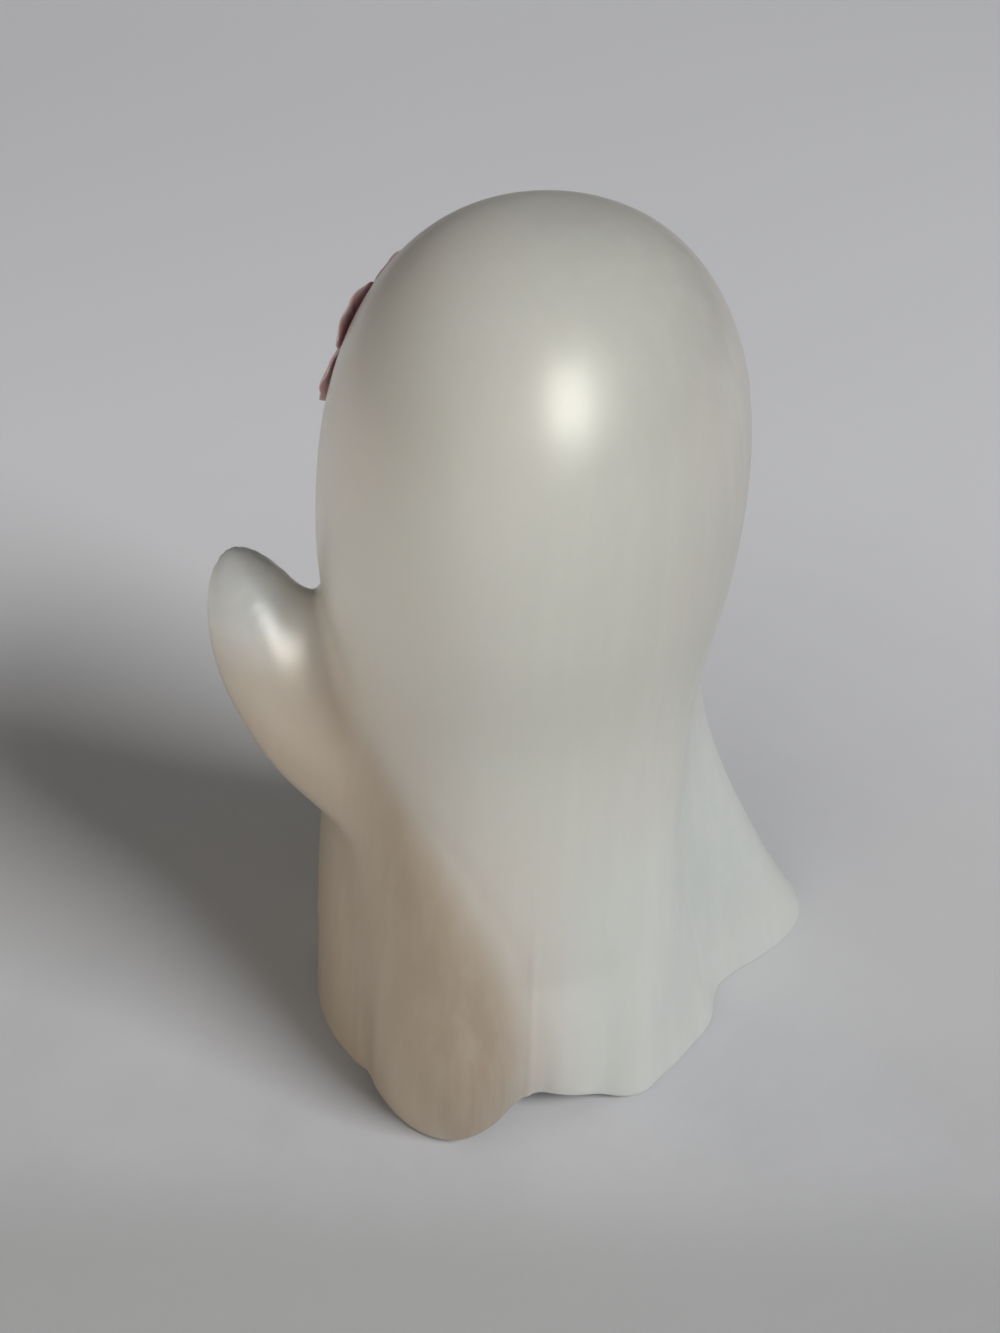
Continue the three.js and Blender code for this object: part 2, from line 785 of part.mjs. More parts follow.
function makeResistor() {
  const x = -boardRadius * 0.45;
  const z = boardTop + gap + resistorRadius + 0.2;
  const half = resistorLong / 2;
  const barrel = turned([
    [0, -half],
    [resistorRadius * 0.8, -half],
    [resistorRadius, -half + 0.5],
    [resistorRadius, -half + 1.4],
    [resistorRadius * 0.88, -half + 1.8],
    [resistorRadius * 0.88, half - 1.8],
    [resistorRadius, half - 1.4],
    [resistorRadius, half - 0.5],
    [resistorRadius * 0.8, half],
    [0, half],
  ], 14);
  const lead = 0.3;
  const reach = half + 1.4;
  const leads = [-1, 1].map((side) => {
    const inner = side * (half - 0.3);
    const outer = side * reach;
    const across = block(-lead, lead, Math.min(inner, outer), Math.max(inner, outer), -lead, lead);
    const foot = side * (reach - lead);
    return across.add(block(-lead, lead, foot - lead, foot + lead, boardTop + gap - z, lead));
  });
  return joined([barrel.rotate([90, 0, 0]), ...leads]).translate([x, 0, z]);
}

function makeSwitchBody() {
  const half = switchWide / 2;
  const deep = switchDeep / 2;
  const top = switchBottom + switchTall;
  let body = block(-half, half, -deep, deep, switchBottom, top);
  const earTop = switchBottom + switchEarThick;
  body = body.add(block(-earHalf, earHalf, -deep + 0.4, deep - 0.4, switchBottom, earTop));
  const roomHalf = (knobWide + switchTravel) / 2 + sliderOver + gap;
  const roomSide = knobDeep / 2 + sliderOver + gap;
  const roomTop = switchBottom + sliderTall + 2 * gap;
  body = body.subtract(block(-roomHalf, roomHalf, -roomSide, roomSide, switchBottom - 1, roomTop));
  for (const side of [-1, 1]) {
    body = body.subtract(
      rod(smallScrewRadius + gap, switchBottom - 1, switchBottom + 2, side * switchScrewX, 0, 12),
    );
  }
  const pinHalf = terminalWide / 2;
  const pinSide = terminalDeep / 2;
  for (const x of [-terminalApart, 0, terminalApart]) {
    body = body.add(block(x - pinHalf, x + pinHalf, -pinSide, pinSide, top - 0.5, top + terminalTall));
  }
  return body.translate([0, switchY, 0]);
}

// Knob at the off end of its travel
function makeKnob() {
  const middle = -switchTravel / 2;
  const half = knobWide / 2;
  const side = knobDeep / 2;
  const under = switchBottom + gap;
  const stem = block(middle - half, middle + half, -side, side, plugBottom - knobProud, under + 0.5);
  const slider = block(
    middle - half - sliderOver,
    middle + half + sliderOver,
    -side - sliderOver,
    side + sliderOver,
    under,
    under + sliderTall,
  );
  return joined([stem, slider]).translate([0, switchY, 0]);
}

function makeDiffuser() {
  const seat = plugTop + gap;
  const outside = [];
  const inside = [];
  const bends = 5;
  const upright = diffuserTall - plugRadius;
  for (let bend = 0; bend < bends; bend += 1) {
    const turn = ((bend / bends) * Math.PI) / 2;
    const cos = Math.cos(turn);
    const sin = Math.sin(turn);
    outside.push([plugRadius * cos, seat + Math.max(upright, 2) + plugRadius * sin]);
    inside.unshift([
      (plugRadius - plugWall - gap - diffuserWall) * cos,
      seat + Math.max(upright, 2) + (plugRadius - diffuserWall) * sin,
    ]);
  }
  const top = seat + Math.max(upright, 2) + plugRadius;
  return turned([
    [plugInner - gap, seat - diffuserSkirt],
    [plugInner - gap, seat],
    [plugRadius, seat],
    ...outside,
    [0, top],
    [0, top - diffuserWall],
    ...inside,
    [plugInner - gap - diffuserWall, seat - diffuserSkirt],
    [plugInner - gap, seat - diffuserSkirt],
  ], 28);
}

function wire(points) {
  const curve = new THREE.CatmullRomCurve3(points.map((point) => new THREE.Vector3(...point)));
  return tube(curve, wireRadius, 14, 8);
}

function makeRedWire() {
  const tab = -bayLong / 2 + gap + contactThick / 2;
  const over = roofTop + gap + wireRadius;
  const terminal = switchBottom + switchTall + terminalTall + gap;
  return wire([
    [tab, contactTabWide / 2 + gap, over],
    [tab, baySide, over],
    [-5, switchY - 1.2, over - 3],
    [-terminalApart, switchY, terminal + 2],
    [-terminalApart, switchY, terminal],
  ]);
}

function makeWhiteWire() {
  const terminal = switchBottom + switchTall + terminalTall + gap;
  return wire([
    [0, switchY, terminal],
    [0.3, switchY, terminal + 2],
    [2, switchY - 0.6, boardBottom - 3],
    [2.2, switchY - 0.8, boardBottom - gap],
  ]);
}

function makeBlackWire() {
  const tab = bayLong / 2 - gap - contactThick / 2;
  const over = roofTop + gap + wireRadius;
  return wire([
    [tab, -contactTabWide / 2 - gap, over],
    [tab, -baySide, over],
    [tab - 2.5, -baySide - 3, over - 1.4],
    [tab - 5.5, -baySide - 3.4, over - 0.6],
    [tab - 6.2, -baySide - 3.4, boardBottom - gap],
  ]);
}

// Materials

function finish(color, roughness, metalness = 0, opacity = 1) {
  return new THREE.MeshStandardMaterial({ color, roughness, metalness, opacity, transparent: opacity < 1 });
}

const pearl = finish(0xd9d6cc, 0.38);
const rose = finish(0xb88290, 0.45);
const cream = finish(0xe0cfa0, 0.5);
const whitePlastic = finish(0xe8e6df, 0.5);
const steel = finish(0xb4b6b8, 0.32, 1);
const cellSteel = finish(0xc6c7c6, 0.25, 1);
const brass = finish(0xc8a864, 0.35, 1);
const laminate = finish(0x2f6b46, 0.5);
const clearResin = finish(0xf4f1de, 0.12, 0, 0.7);
const resistorGlaze = finish(0xd2b48c, 0.4);
const blackPlastic = finish(0x202224, 0.5);
const redCover = finish(0xb02a25, 0.5);
const blackCover = finish(0x1c1c1e, 0.5);
const whiteCover = finish(0xdedede, 0.5);
const frosted = finish(0xf3f2ee, 0.6, 0, 0.8);

// Assembly

function piece(name, solid, material) {
  const mesh = new THREE.Mesh(toGeometry(solid), material);
  mesh.name = name;
  return mesh;
}

const lightUnit = new THREE.Group();
lightUnit.add(piece("base_plug", makePlug(), whitePlastic));
lightUnit.add(piece("battery_door", makeDoor(), whitePlastic));
[-1, 1].forEach((side, index) => {
  const seat = plugBottom + screwHeadTall - gap;
  const head = screwHeadTall - gap;
  const solid = screw(side * doorScrewX, 0, seat, screwRadius, screwHeadRadius, head, doorScrewLong, 1);
  lightUnit.add(piece(`door_screw_${index + 1}`, solid, steel));
});
for (let index = 0; index < cellCount; index += 1) {
  lightUnit.add(piece(`button_cell_${index + 1}`, makeCell(index), cellSteel));
}
lightUnit.add(piece("contact_plate_positive", makePlate(-1), brass));
lightUnit.add(piece("contact_plate_negative", makePlate(1), brass));
lightUnit.add(piece("contact_spring", makeSpring(), steel));
lightUnit.add(piece("circuit_board", makeBoard(), laminate));
boardBosses().forEach(([x, y], index) => {
  const head = screwHeadRadius * 0.95;
  const solid = screw(x, y, boardTop + gap, screwRadius, head, screwHeadTall, circuitScrewLong, -1);
  lightUnit.add(piece(`circuit_screw_${index + 1}`, solid, steel));
});
lightUnit.add(piece("led_lens", makeLens(), clearResin));
lightUnit.add(piece("led_anode", makeLeg(1), steel));
lightUnit.add(piece("led_cathode", makeLeg(-1), steel));
lightUnit.add(piece("resistor", makeResistor(), resistorGlaze));
lightUnit.add(piece("switch_body", makeSwitchBody(), steel));
lightUnit.add(piece("switch_knob", makeKnob(), blackPlastic));
[-1, 1].forEach((side, index) => {
  const seat = switchBottom + switchEarThick + gap;
  const head = smallScrewHead;
  const headTall = smallScrewHeadTall;
  const x = side * switchScrewX;
  const solid = screw(x, switchY, seat, smallScrewRadius, head, headTall, smallScrewLong, -1);
  lightUnit.add(piece(`switch_screw_${index + 1}`, solid, steel));
});
lightUnit.add(piece("wire_red", makeRedWire(), redCover));
lightUnit.add(piece("wire_black", makeBlackWire(), blackCover));
lightUnit.add(piece("wire_white", makeWhiteWire(), whiteCover));
lightUnit.add(piece("light_diffuser", makeDiffuser(), frosted));

const ghost = new THREE.Group();
ghost.add(piece("ghost_shell", makeShell(), pearl));
ghost.add(piece("flower_petals", makePetals(), rose));
ghost.add(piece("flower_bud", makeBud(), cream));
ghost.add(lightUnit);

// The origin lies under the middle of the whole figure, on the table
const extent = new THREE.Box3().setFromObject(ghost, true);
const centre = extent.getCenter(new THREE.Vector3());
ghost.position.set(-centre.x, -centre.y, -extent.min.z);

export default ghost;
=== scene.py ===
import json
import math

import bmesh
import bpy
import numpy as np
from mathutils import Matrix, Vector


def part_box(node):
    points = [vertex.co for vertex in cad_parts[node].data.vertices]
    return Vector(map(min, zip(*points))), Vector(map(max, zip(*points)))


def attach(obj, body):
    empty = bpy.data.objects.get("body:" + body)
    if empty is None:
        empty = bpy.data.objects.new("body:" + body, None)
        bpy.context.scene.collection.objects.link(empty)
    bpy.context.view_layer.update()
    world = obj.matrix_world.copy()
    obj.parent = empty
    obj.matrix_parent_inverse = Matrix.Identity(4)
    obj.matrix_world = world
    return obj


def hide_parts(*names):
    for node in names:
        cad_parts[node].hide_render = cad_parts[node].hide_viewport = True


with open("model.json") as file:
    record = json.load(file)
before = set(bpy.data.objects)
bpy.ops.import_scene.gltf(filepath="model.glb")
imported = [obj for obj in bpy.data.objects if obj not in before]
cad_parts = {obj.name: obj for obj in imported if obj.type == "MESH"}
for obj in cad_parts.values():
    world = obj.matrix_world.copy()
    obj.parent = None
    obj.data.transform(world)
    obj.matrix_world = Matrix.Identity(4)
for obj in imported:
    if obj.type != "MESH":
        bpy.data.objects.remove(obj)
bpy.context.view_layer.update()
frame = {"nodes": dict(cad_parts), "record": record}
print("frame loaded")

mm = 0.001
plugLow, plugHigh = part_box("base_plug")
plugRadius = (plugHigh.x - plugLow.x) / 2
bodyAxis = (plugLow + plugHigh) / 2 * Vector((1, 1, 0))  # upright through the light unit, from the table
record = frame["record"]
slotOf = {part["node"]: part["material_slot"] for part in record["subparts"]}
bodyOf = {node: body for body, nodes in record["behaviour"]["bodies"].items() for node in nodes}
scene = bpy.context.scene


def linked(name, data):
    thing = bpy.data.objects.new(name, data)
    scene.collection.objects.link(thing)
    return thing


# Unit vector that points round from +X by one angle and up by the other, in degrees
def direction(turn, rise):
    turn, rise = math.radians(turn), math.radians(rise)
    return Vector((math.cos(turn) * math.cos(rise), math.sin(turn) * math.cos(rise), math.sin(rise)))


# Camera: the photograph's place, measured from the foot of the body's axis

photoView = {
    "sensor": 36.0, "focalPixels": 1500, "picturePixels": 1333,  # lens length against the picture's height
    "distance": 353.95,
    "turn": 63.0,  # round from +X
    "pitch": 38.0,
    "roll": 1.77,
    "side": 3.03,  # how far the axis foot lies right of the picture's middle
    "rise": -68.15,
}


def addCamera(view):
    ahead = -direction(view["turn"], view["pitch"])
    right = ahead.cross(Vector((0, 0, 1))).normalized()
    up = right.cross(ahead)
    place = bodyAxis - (view["distance"] * ahead + view["rise"] * up + view["side"] * right) * mm
    roll = math.radians(view["roll"])
    rolledRight = right * math.cos(roll) + up * math.sin(roll)
    rolledUp = up * math.cos(roll) - right * math.sin(roll)
    data = bpy.data.cameras.new("photoCamera")
    data.lens = view["sensor"] * view["focalPixels"] / view["picturePixels"]
    data.sensor_width = view["sensor"]
    data.clip_start = 10 * mm
    camera = linked("photoCamera", data)
    axes = Matrix((rolledRight, rolledUp, -ahead)).transposed().to_4x4()
    camera.matrix_world = Matrix.Translation(place) @ axes
    scene.camera = camera


addCamera(photoView)


# Helpers for meshes

def meshObject(name, verts, faces):
    mesh = bpy.data.meshes.new(name)
    mesh.from_pydata([tuple(v) for v in verts], [], [tuple(f) for f in faces])
    mesh.validate()
    mesh.polygons.foreach_set("use_smooth", [True] * len(mesh.polygons))
    mesh.update()
    return linked(name, mesh)


# Quads between closed rings of points
def gridFaces(rows, steps, offset=0):
    row = np.arange(rows - 1)[:, None] * steps + offset
    here = np.arange(steps)[None, :]
    after = (here + 1) % steps
    quads = np.stack([row + here, row + after, row + steps + after, row + steps + here], -1)
    return quads.reshape(-1, 4).tolist()


# Points and faces of a closed skin over rings, with a middle point at each end
def closedRings(rings, bottom, top):
    steps = len(rings[0])
    count = len(rings) * steps
    last = count - steps
    faces = gridFaces(len(rings), steps)
    faces += [(count, (step + 1) % steps, step) for step in range(steps)]
    faces += [(count + 1, last + step, last + (step + 1) % steps) for step in range(steps)]
    return np.vstack([np.vstack(rings), [bottom, top]]), faces


def ringOf(radius, turn, z):
    return np.stack([radius * np.cos(turn), radius * np.sin(turn), turn * 0 + z], -1)


# Closed turned skin from [radius, height] points that start and end on the axis
def lathed(profile, steps):
    turn = np.linspace(0, 2 * np.pi, steps, endpoint=False)
    rings = [ringOf(radius, turn, z) for radius, z in profile[1:-1]]
    return closedRings(rings, (0, 0, profile[0][1]), (0, 0, profile[-1][1]))


# A piece from a skin's points and faces, with the points put in their place by a function
def skinned(name, skin, place):
    points, faces = skin
    return meshObject(name, place(points), faces)


def movePoints(piece, place):
    flat = np.empty(len(piece.data.vertices) * 3)
    piece.data.vertices.foreach_get("co", flat)
    piece.data.vertices.foreach_set("co", place(flat.reshape(-1, 3)).ravel())
    piece.data.update()


# Changes a mesh's points and faces, and keeps the result in it or in a new mesh
def edited(mesh, change, result=None):
    work = bmesh.new()
    work.from_mesh(mesh)
    change(work)
    work.to_mesh(result or mesh)
    work.free()


# Adds a modifier and keeps the plain mesh that it makes
def applied(piece, kind, inputs=None, **settings):
    modifier = piece.modifiers.new(kind.lower(), kind)
    for key, value in settings.items():
        setattr(modifier, key, value)
    for identifier, value in (inputs or {}).items():
        modifier[identifier] = value
    evaluated = piece.evaluated_get(bpy.context.evaluated_depsgraph_get())
    done = bpy.data.meshes.new_from_object(evaluated)
    old = piece.data
    piece.modifiers.clear()
    piece.data = done
    bpy.data.meshes.remove(old)
    return piece


def combined(piece, other, operation="DIFFERENCE"):
    applied(piece, "BOOLEAN", operation=operation, solver="MANIFOLD", object=other)
    bpy.data.objects.remove(other)


def joinPieces(name, parts):
    whole = bmesh.new()
    for part in parts:
        whole.from_mesh(part.data)
        bpy.data.objects.remove(part)
    mesh = bpy.data.meshes.new(name)
    whole.to_mesh(mesh)
    whole.free()
    return linked(name, mesh)


def camelName(words):
    first, *others = words.split("_")
    return first + "".join(word.capitalize() for word in others)


# Last steps of a piece: sharp edges, its finish, its body, and the node and slot that it stands for
def standFor(piece, node, sharpAngle, weighted=False):
    piece.data.polygons.foreach_set("use_smooth", [True] * len(piece.data.polygons))
    piece.data.set_sharp_from_angle(angle=math.radians(sharpAngle))
    if weighted:
        applied(piece, "WEIGHTED_NORMAL", keep_sharp=True)
    piece.data.materials.clear()
    piece.data.materials.append(finishes[slotOf[node]])
    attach(piece, bodyOf[node])
    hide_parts(node)


# Helpers for node trees

def addNode(tree, kind, inputs=None, **properties):
    node = tree.nodes.new(kind)
    for key, value in properties.items():
        setattr(node, key, value)
    for key, value in (inputs or {}).items():
        if isinstance(value, bpy.types.NodeSocket):
            tree.links.new(value, node.inputs[key])
        else:
            node.inputs[key].default_value = value
    return node


# What a node gives that stands in the same tree as the sockets it takes
def nodeOf(kind, inputs, output=0, **properties):
    tree = next(value.id_data for value in inputs.values() if isinstance(value, bpy.types.NodeSocket))
    return addNode(tree, kind, inputs, **properties).outputs[output]


# Reckons with sockets and numbers, from the first to the last
def mathOf(operation, result, *others):
    for other in others or (0.0,):
        result = nodeOf("ShaderNodeMath", {0: result, 1: other}, operation=operation)
    return result


def times(first, *others):
    return mathOf("MULTIPLY", first, *others) if others else first


def vectorOf(operation, a, b=(0, 0, 0), output="Vector"):
    return nodeOf("ShaderNodeVectorMath", {0: a, 1: b}, output, operation=operation)


# Trees that copy one shape: each has the shape, count, radius and finish as inputs

def newTree(name, **inputs):
    tree = bpy.data.node_groups.new(name, "GeometryNodeTree")
    for way in ("INPUT", "OUTPUT"):
        tree.interface.new_socket("Geometry", in_out=way, socket_type="NodeSocketGeometry")
    kinds = {"Shape": "Object", "Count": "Int", "Radius": "Float", "Finish": "Material", **inputs}
    for label, kind in kinds.items():
        tree.interface.new_socket(label, in_out="INPUT", socket_type="NodeSocket" + kind)
    return tree, tree.nodes.new("NodeGroupInput").outputs


# Ends a tree: a copy stands on each point, is made real and gets its finish
def endTree(tree, given, points, **more):
    shape = addNode(tree, "GeometryNodeObjectInfo", {"Object": given["Shape"]}).outputs["Geometry"]
    stood = nodeOf("GeometryNodeInstanceOnPoints", {"Points": points, "Instance": shape, **more})
    real = nodeOf("GeometryNodeRealizeInstances", {0: stood})
    shown = nodeOf("GeometryNodeSetMaterial", {"Geometry": real, "Material": given["Finish"]})
    tree.links.new(shown, tree.nodes.new("NodeGroupOutput").inputs[0])
    return tree


# Copies round the Z axis
def ringTree():
    tree, given = newTree("copiesRound")
    ring = nodeOf("GeometryNodeMeshCircle", {"Vertices": given["Count"], "Radius": given["Radius"]})
    index = addNode(tree, "GeometryNodeInputIndex").outputs[0]
    turn = times(index, mathOf("DIVIDE", 2 * math.pi, given["Count"]))
    return endTree(tree, given, ring, Rotation=nodeOf("ShaderNodeCombineXYZ", {2: turn}))


# Copies in a seed spiral over a dome
def spiralTree():
    tree, given = newTree("seedSpiral", Tall="Float", Foot="Float")
    line = nodeOf("GeometryNodeMeshLine", {"Count": given["Count"]})
    index = addNode(tree, "GeometryNodeInputIndex").outputs[0]
    turn = times(index, 2.39996)  # the golden angle
    share = mathOf("DIVIDE", mathOf("ADD", index, 0.5), given["Count"])
    away = times(mathOf("SQRT", share), given["Radius"])
    fullness = 1.12  # above 1, so that the outermost copies stay off the dome's foot
    dome = mathOf("SQRT", mathOf("SUBTRACT", fullness, share))
    place = nodeOf("ShaderNodeCombineXYZ", {
        0: times(away, mathOf("COSINE", turn)),
        1: times(away, mathOf("SINE", turn)),
        2: mathOf("ADD", times(dome, given["Tall"]), given["Foot"])})
    return endTree(tree, given, nodeOf("GeometryNodeSetPosition", {"Geometry": line, "Position": place}))


# Runs a tree on an empty piece, with its named inputs, and removes the shape that it copies
def copiesOf(name, tree, **values):
    named = {item.name: item.identifier for item in tree.interface.items_tree if item.in_out == "INPUT"}
    piece = meshObject(name, [(0, 0, 0)], [])
    applied(piece, "NODES", {named[key]: value for key, value in values.items()}, node_group=tree)
    bpy.data.objects.remove(values["Shape"])
    return piece


# The sheet: a body of round sections whose radius follows a profile, folds and creases

sheet = {  # millimetres and degrees, round the body's axis
    "tall": 180.0,
    "headRadius": 39.8, "headHeight": 119.9, "domePower": 2.41,
    "waistRadius": 37.7, "waistHeight": 91.2, "flareTall": 69.1, "hemRadius": 42.2,
    "lean": 4.3, "wall": 2.0, "rimWall": 2.4, "rimRound": 1.1, "rimInnerShare": 0.75,
    "floorHeight": 11.0, "floorThick": 2.0, "floorCorner": 1.4,
    "folds": [  # azimuth, half width, reach at the hem, height where it dies out; a crease reaches inwards
        (10, 55, 3.1, 43), (82, 11.6, 2.5, 85), (103.7, 24.3, 6.7, 107), (139, 33.5, 16.4, 61.5),
        (164.6, 21.5, 11.7, 94.9), (178.3, 42.7, 28, 105.3), (232, 20, 5, 88), (268, 18, 4.5, 80),
        (310, 24, 6.5, 90),
        (67, 6, -1, 80), (24, 6, -0.8, 55), (146, 34, -9.7, 175), (250, 8, -1, 70), (287, 8, -1, 70)],
    "hemLifts": [  # azimuth, half width, rise
        (28, 13, 1.5), (73.7, 30, 6.5), (208, 14, 2), (251, 13, 2), (288, 13, 2), (340, 14, 1.8)],
    "drape": {  # the fold that the raised arm draws up: it leans over towards the arm with height
        "at": 52.7, "left": 40.3, "right": 22.5, "reach": 10.1, "tall": 92, "drift": 58},
    "swell": {"at": 62, "spread": 58, "deep": 3.0, "tall": 38},  # the sheet bulges a little above the hem
    "pleat": {"at": 70.3, "spread": 1.3, "ridge": 0.32, "tall": 88},  # one sharp pinch of the cloth
}


def turnBetween(a, b):
    return (a - b + 180) % 360 - 180


def bell(azimuth, at, spread):
    return 0.5 + 0.5 * np.cos(np.pi * np.minimum(np.abs(turnBetween(azimuth, at)) / spread, 1))


def smoothStep(value):
    value = np.clip(value, 0, 1)
    return value * value * (3 - 2 * value)


def sheetRadius(azimuth, z, inset=0.0):
    head, waist = sheet["headHeight"], sheet["waistHeight"]
    up = np.clip((z - head) / (sheet["tall"] - inset - head), 0, 1)
    power = sheet["domePower"]
    dome = (sheet["headRadius"] - inset) * (1 - up ** power) ** (1 / power)
    rise = smoothStep((z - waist) / (head - waist))
    flare = smoothStep((waist - z) / sheet["flareTall"])
    radius = sheet["waistRadius"] + (sheet["headRadius"] - sheet["waistRadius"]) * rise - inset
    radius = radius + (sheet["hemRadius"] - sheet["waistRadius"]) * flare
    radius = np.where(z >= head, dome, radius)
    low = np.maximum(z, 0)
    for at, spread, reach, height in sheet["folds"]:
        radius = radius + reach * bell(azimuth, at, spread) * np.clip(1 - low / height, 0, 1) ** 2
    drape, swell, pleat = sheet["drape"], sheet["swell"], sheet["pleat"]
    crest = drape["at"] - drape["drift"] * (low / drape["tall"]) ** 3
    spread = np.where(turnBetween(azimuth, crest) < 0, drape["left"], drape["right"])
    radius = radius + drape["reach"] * smoothStep(1 - low / drape["tall"]) * bell(azimuth, crest, spread)
    bulge = swell["deep"] * np.sin(np.pi * np.clip(low / swell["tall"], 0, 1))
    radius = radius + bulge * bell(azimuth, swell["at"], swell["spread"])
    if inset == 0:
        fading = smoothStep(1 - low / pleat["tall"])
        radius = radius + pleat["ridge"] * bell(azimuth, pleat["at"], pleat["spread"]) * fading
    return np.maximum(radius, 0)


def hemHeight(azimuth):
    return sum(lift * bell(azimuth, at, spread) for at, spread, lift in sheet["hemLifts"])


def leanAt(z):
    return -sheet["lean"] * (np.maximum(z, 0) / sheet["tall"]) ** 2


# Points in millimetres from the body's axis, leaned
def fromAxis(azimuth, radius, z):
    turn = np.radians(azimuth)
    return np.stack(np.broadcast_arrays(radius * np.cos(turn) + leanAt(z), radius * np.sin(turn), z), -1)


# Points on the sheet's skin, or a little inside it
def onSheet(azimuth, z, inside=0.0):
    return fromAxis(azimuth, sheetRadius(azimuth, z) - inside, z)


# Points in metres in the frame, from millimetres round the body's axis
def placed(points):
    return np.asarray(points) * mm + np.array(bodyAxis)


# Shares of a height that lie closer together towards its top
def crowding(count):
    return np.sin(np.linspace(0, 1, count)[:-1] * np.pi / 2)


# Closed skin of the sheet from a height up to the crown, set in by a wall
def sheetSkin(foot, inset, columns, rows):
    azimuth = np.linspace(0, 360, columns, endpoint=False)
    top = sheet["tall"] - inset
    heights = foot + (top - foot) * crowding(rows)
    rings = [fromAxis(azimuth, sheetRadius(azimuth, z, inset), z) for z in heights]
    return closedRings(rings, (0, 0, foot), (leanAt(top), 0, top))


# The raised arm: oval sections along a curve out from the body, up and forward

arm = {
    "root": (22.3, 0.0, 74.0), "elbow": (41.5, -0.7, 64.7), "tip": (49.8, -27.1, 111.5),
    "rootHalf": 14.5, "tipHalf": 11.0, "flatness": 0.78, "rounding": 0.29, "roundPower": 2.18,
    "fillets": ((58, 70, 84, 96, 108), (6.0, 9.0, 12.0, 10.5, 6.5)),  # heights, and how softly it joins there
    "near": ((6, -46, 44), (75, 34, 130)),  # lowest and highest corners of the skin that the arm shapes
    "lastShare": 1.02,  # a little past the tip, where it has no width left
    "thinnest": 0.1,  # how thick a section stays, against its width
}


def unit(vector):
    return vector / np.linalg.norm(vector, axis=-1, keepdims=True)


def armCurve(share):
    share = np.asarray(share, float)[..., None]
    middle = (1 - share) ** 2 * armRoot + 2 * share * (1 - share) * armElbow + share ** 2 * armTip
    along = 2 * (1 - share) * (armElbow - armRoot) + 2 * share * (armTip - armElbow)
    return middle, unit(along)


armRoot, armElbow, armTip = (np.array(arm[key]) for key in ("root", "elbow", "tip"))
armShares = np.linspace(0, 1, 161)
armMiddles, armAlongs = armCurve(armShares)
armLong = np.linalg.norm(np.diff(armMiddles, axis=0), axis=1).sum()
flatSide = unit(np.cross(armTip - armRoot, armElbow - armRoot))


def armHalf(share, inset=0.0):
    rounding = np.clip((share - 1 + arm["rounding"]) / arm["rounding"], 0, 1)
    half = arm["rootHalf"] + (arm["tipHalf"] - arm["rootHalf"]) * share - inset
    return half * np.sqrt(np.clip(1 - rounding ** arm["roundPower"], 0, 1))


def leaned(points):
    points = np.array(points, float)
    points[..., 0] += leanAt(points[..., 2])
    return points


def armSkin(inset, rows, steps):
    share = crowding(rows + 1)
    reach = 1 - inset / armLong
    middle, along = armCurve(share * reach)
    half = armHalf(share, inset)[:, None, None]
    wide = np.cross(flatSide, along)[:, None, :]
    turn = np.linspace(0, 2 * np.pi, steps, endpoint=False)[None, :, None]
    thick = np.maximum((half + inset) * arm["flatness"] - inset, half * arm["thinnest"])
    rings = middle[:, None, :] + wide * half * np.cos(turn) + flatSide * thick * np.sin(turn)
    end, _ = armCurve(reach)
    return closedRings(list(leaned(rings)), leaned(armRoot), leaned(end))


# Points stood upright, as if the body didn't lean
def unleaned(points):
    upright = points.copy()
    upright[:, 0] -= leanAt(points[:, 2])
    return upright


# Distance outside the sheet, near enough, for points below the dome's crown
def bodyField(points, step=0.25):
    x, y, z = unleaned(points).T
    azimuth = np.degrees(np.arctan2(y, x))
    slope = (sheetRadius(azimuth, z + step) - sheetRadius(azimuth, z - step)) / (2 * step)
    return (np.hypot(x, y) - sheetRadius(azimuth, z)) / np.sqrt(1 + slope ** 2)


def armField(points):
    upright = unleaned(points)
    gaps = ((upright[:, None, :] - armMiddles[None]) ** 2).sum(-1)
    nearest = gaps.argmin(1)
    away = upright - armMiddles[nearest]
    along = armAlongs[nearest]
    onward = (away * along).sum(-1)
    across = (away * np.cross(flatSide, along)).sum(-1)
    through = away @ flatSide / arm["flatness"]
    share = np.clip(armShares[nearest] + onward / armLong, 0, arm["lastShare"])
    beyond = np.where(nearest == len(armShares) - 1, np.maximum(onward, 0), 0)
    oval = np.sqrt(across ** 2 + through ** 2 + beyond ** 2)
    return (oval - armHalf(share)) * (1 + arm["flatness"]) / 2


# The sheet and the arm as one skin, with a fillet where they meet
def jointField(points):
    body = bodyField(points)
    limb = armField(points)
    fillet = np.interp(points[:, 2], *arm["fillets"])
    blend = np.clip(0.5 + 0.5 * (limb - body) / fillet, 0, 1)
    return limb + (body - limb) * blend - fillet * blend * (1 - blend)


shellDetail = {
    "voxel": 1.05,
    "seamHeight": 46.0,  # the fine skin over the arm meets the even rows of the drape here
    "spare": 8.0,  # how far the fine skin runs below the seam before it is cut
    "seamGap": 0.5,  # how far below the seam the drape's first row lies
    "core": 8.0,  # radius in the middle of the floor towards which its rings close up
    "columns": 480,
    "smoothings": 3,
    "settlings": 4, "settleStep": 0.1, "longestMove": 1.5,  # how points are moved onto the joined skin
    "leastSlope": 0.05,  # keeps a move short where the skin's slope can't be told
    "domeFrom": 150.0,  # above this height points move towards the middle of the dome
}


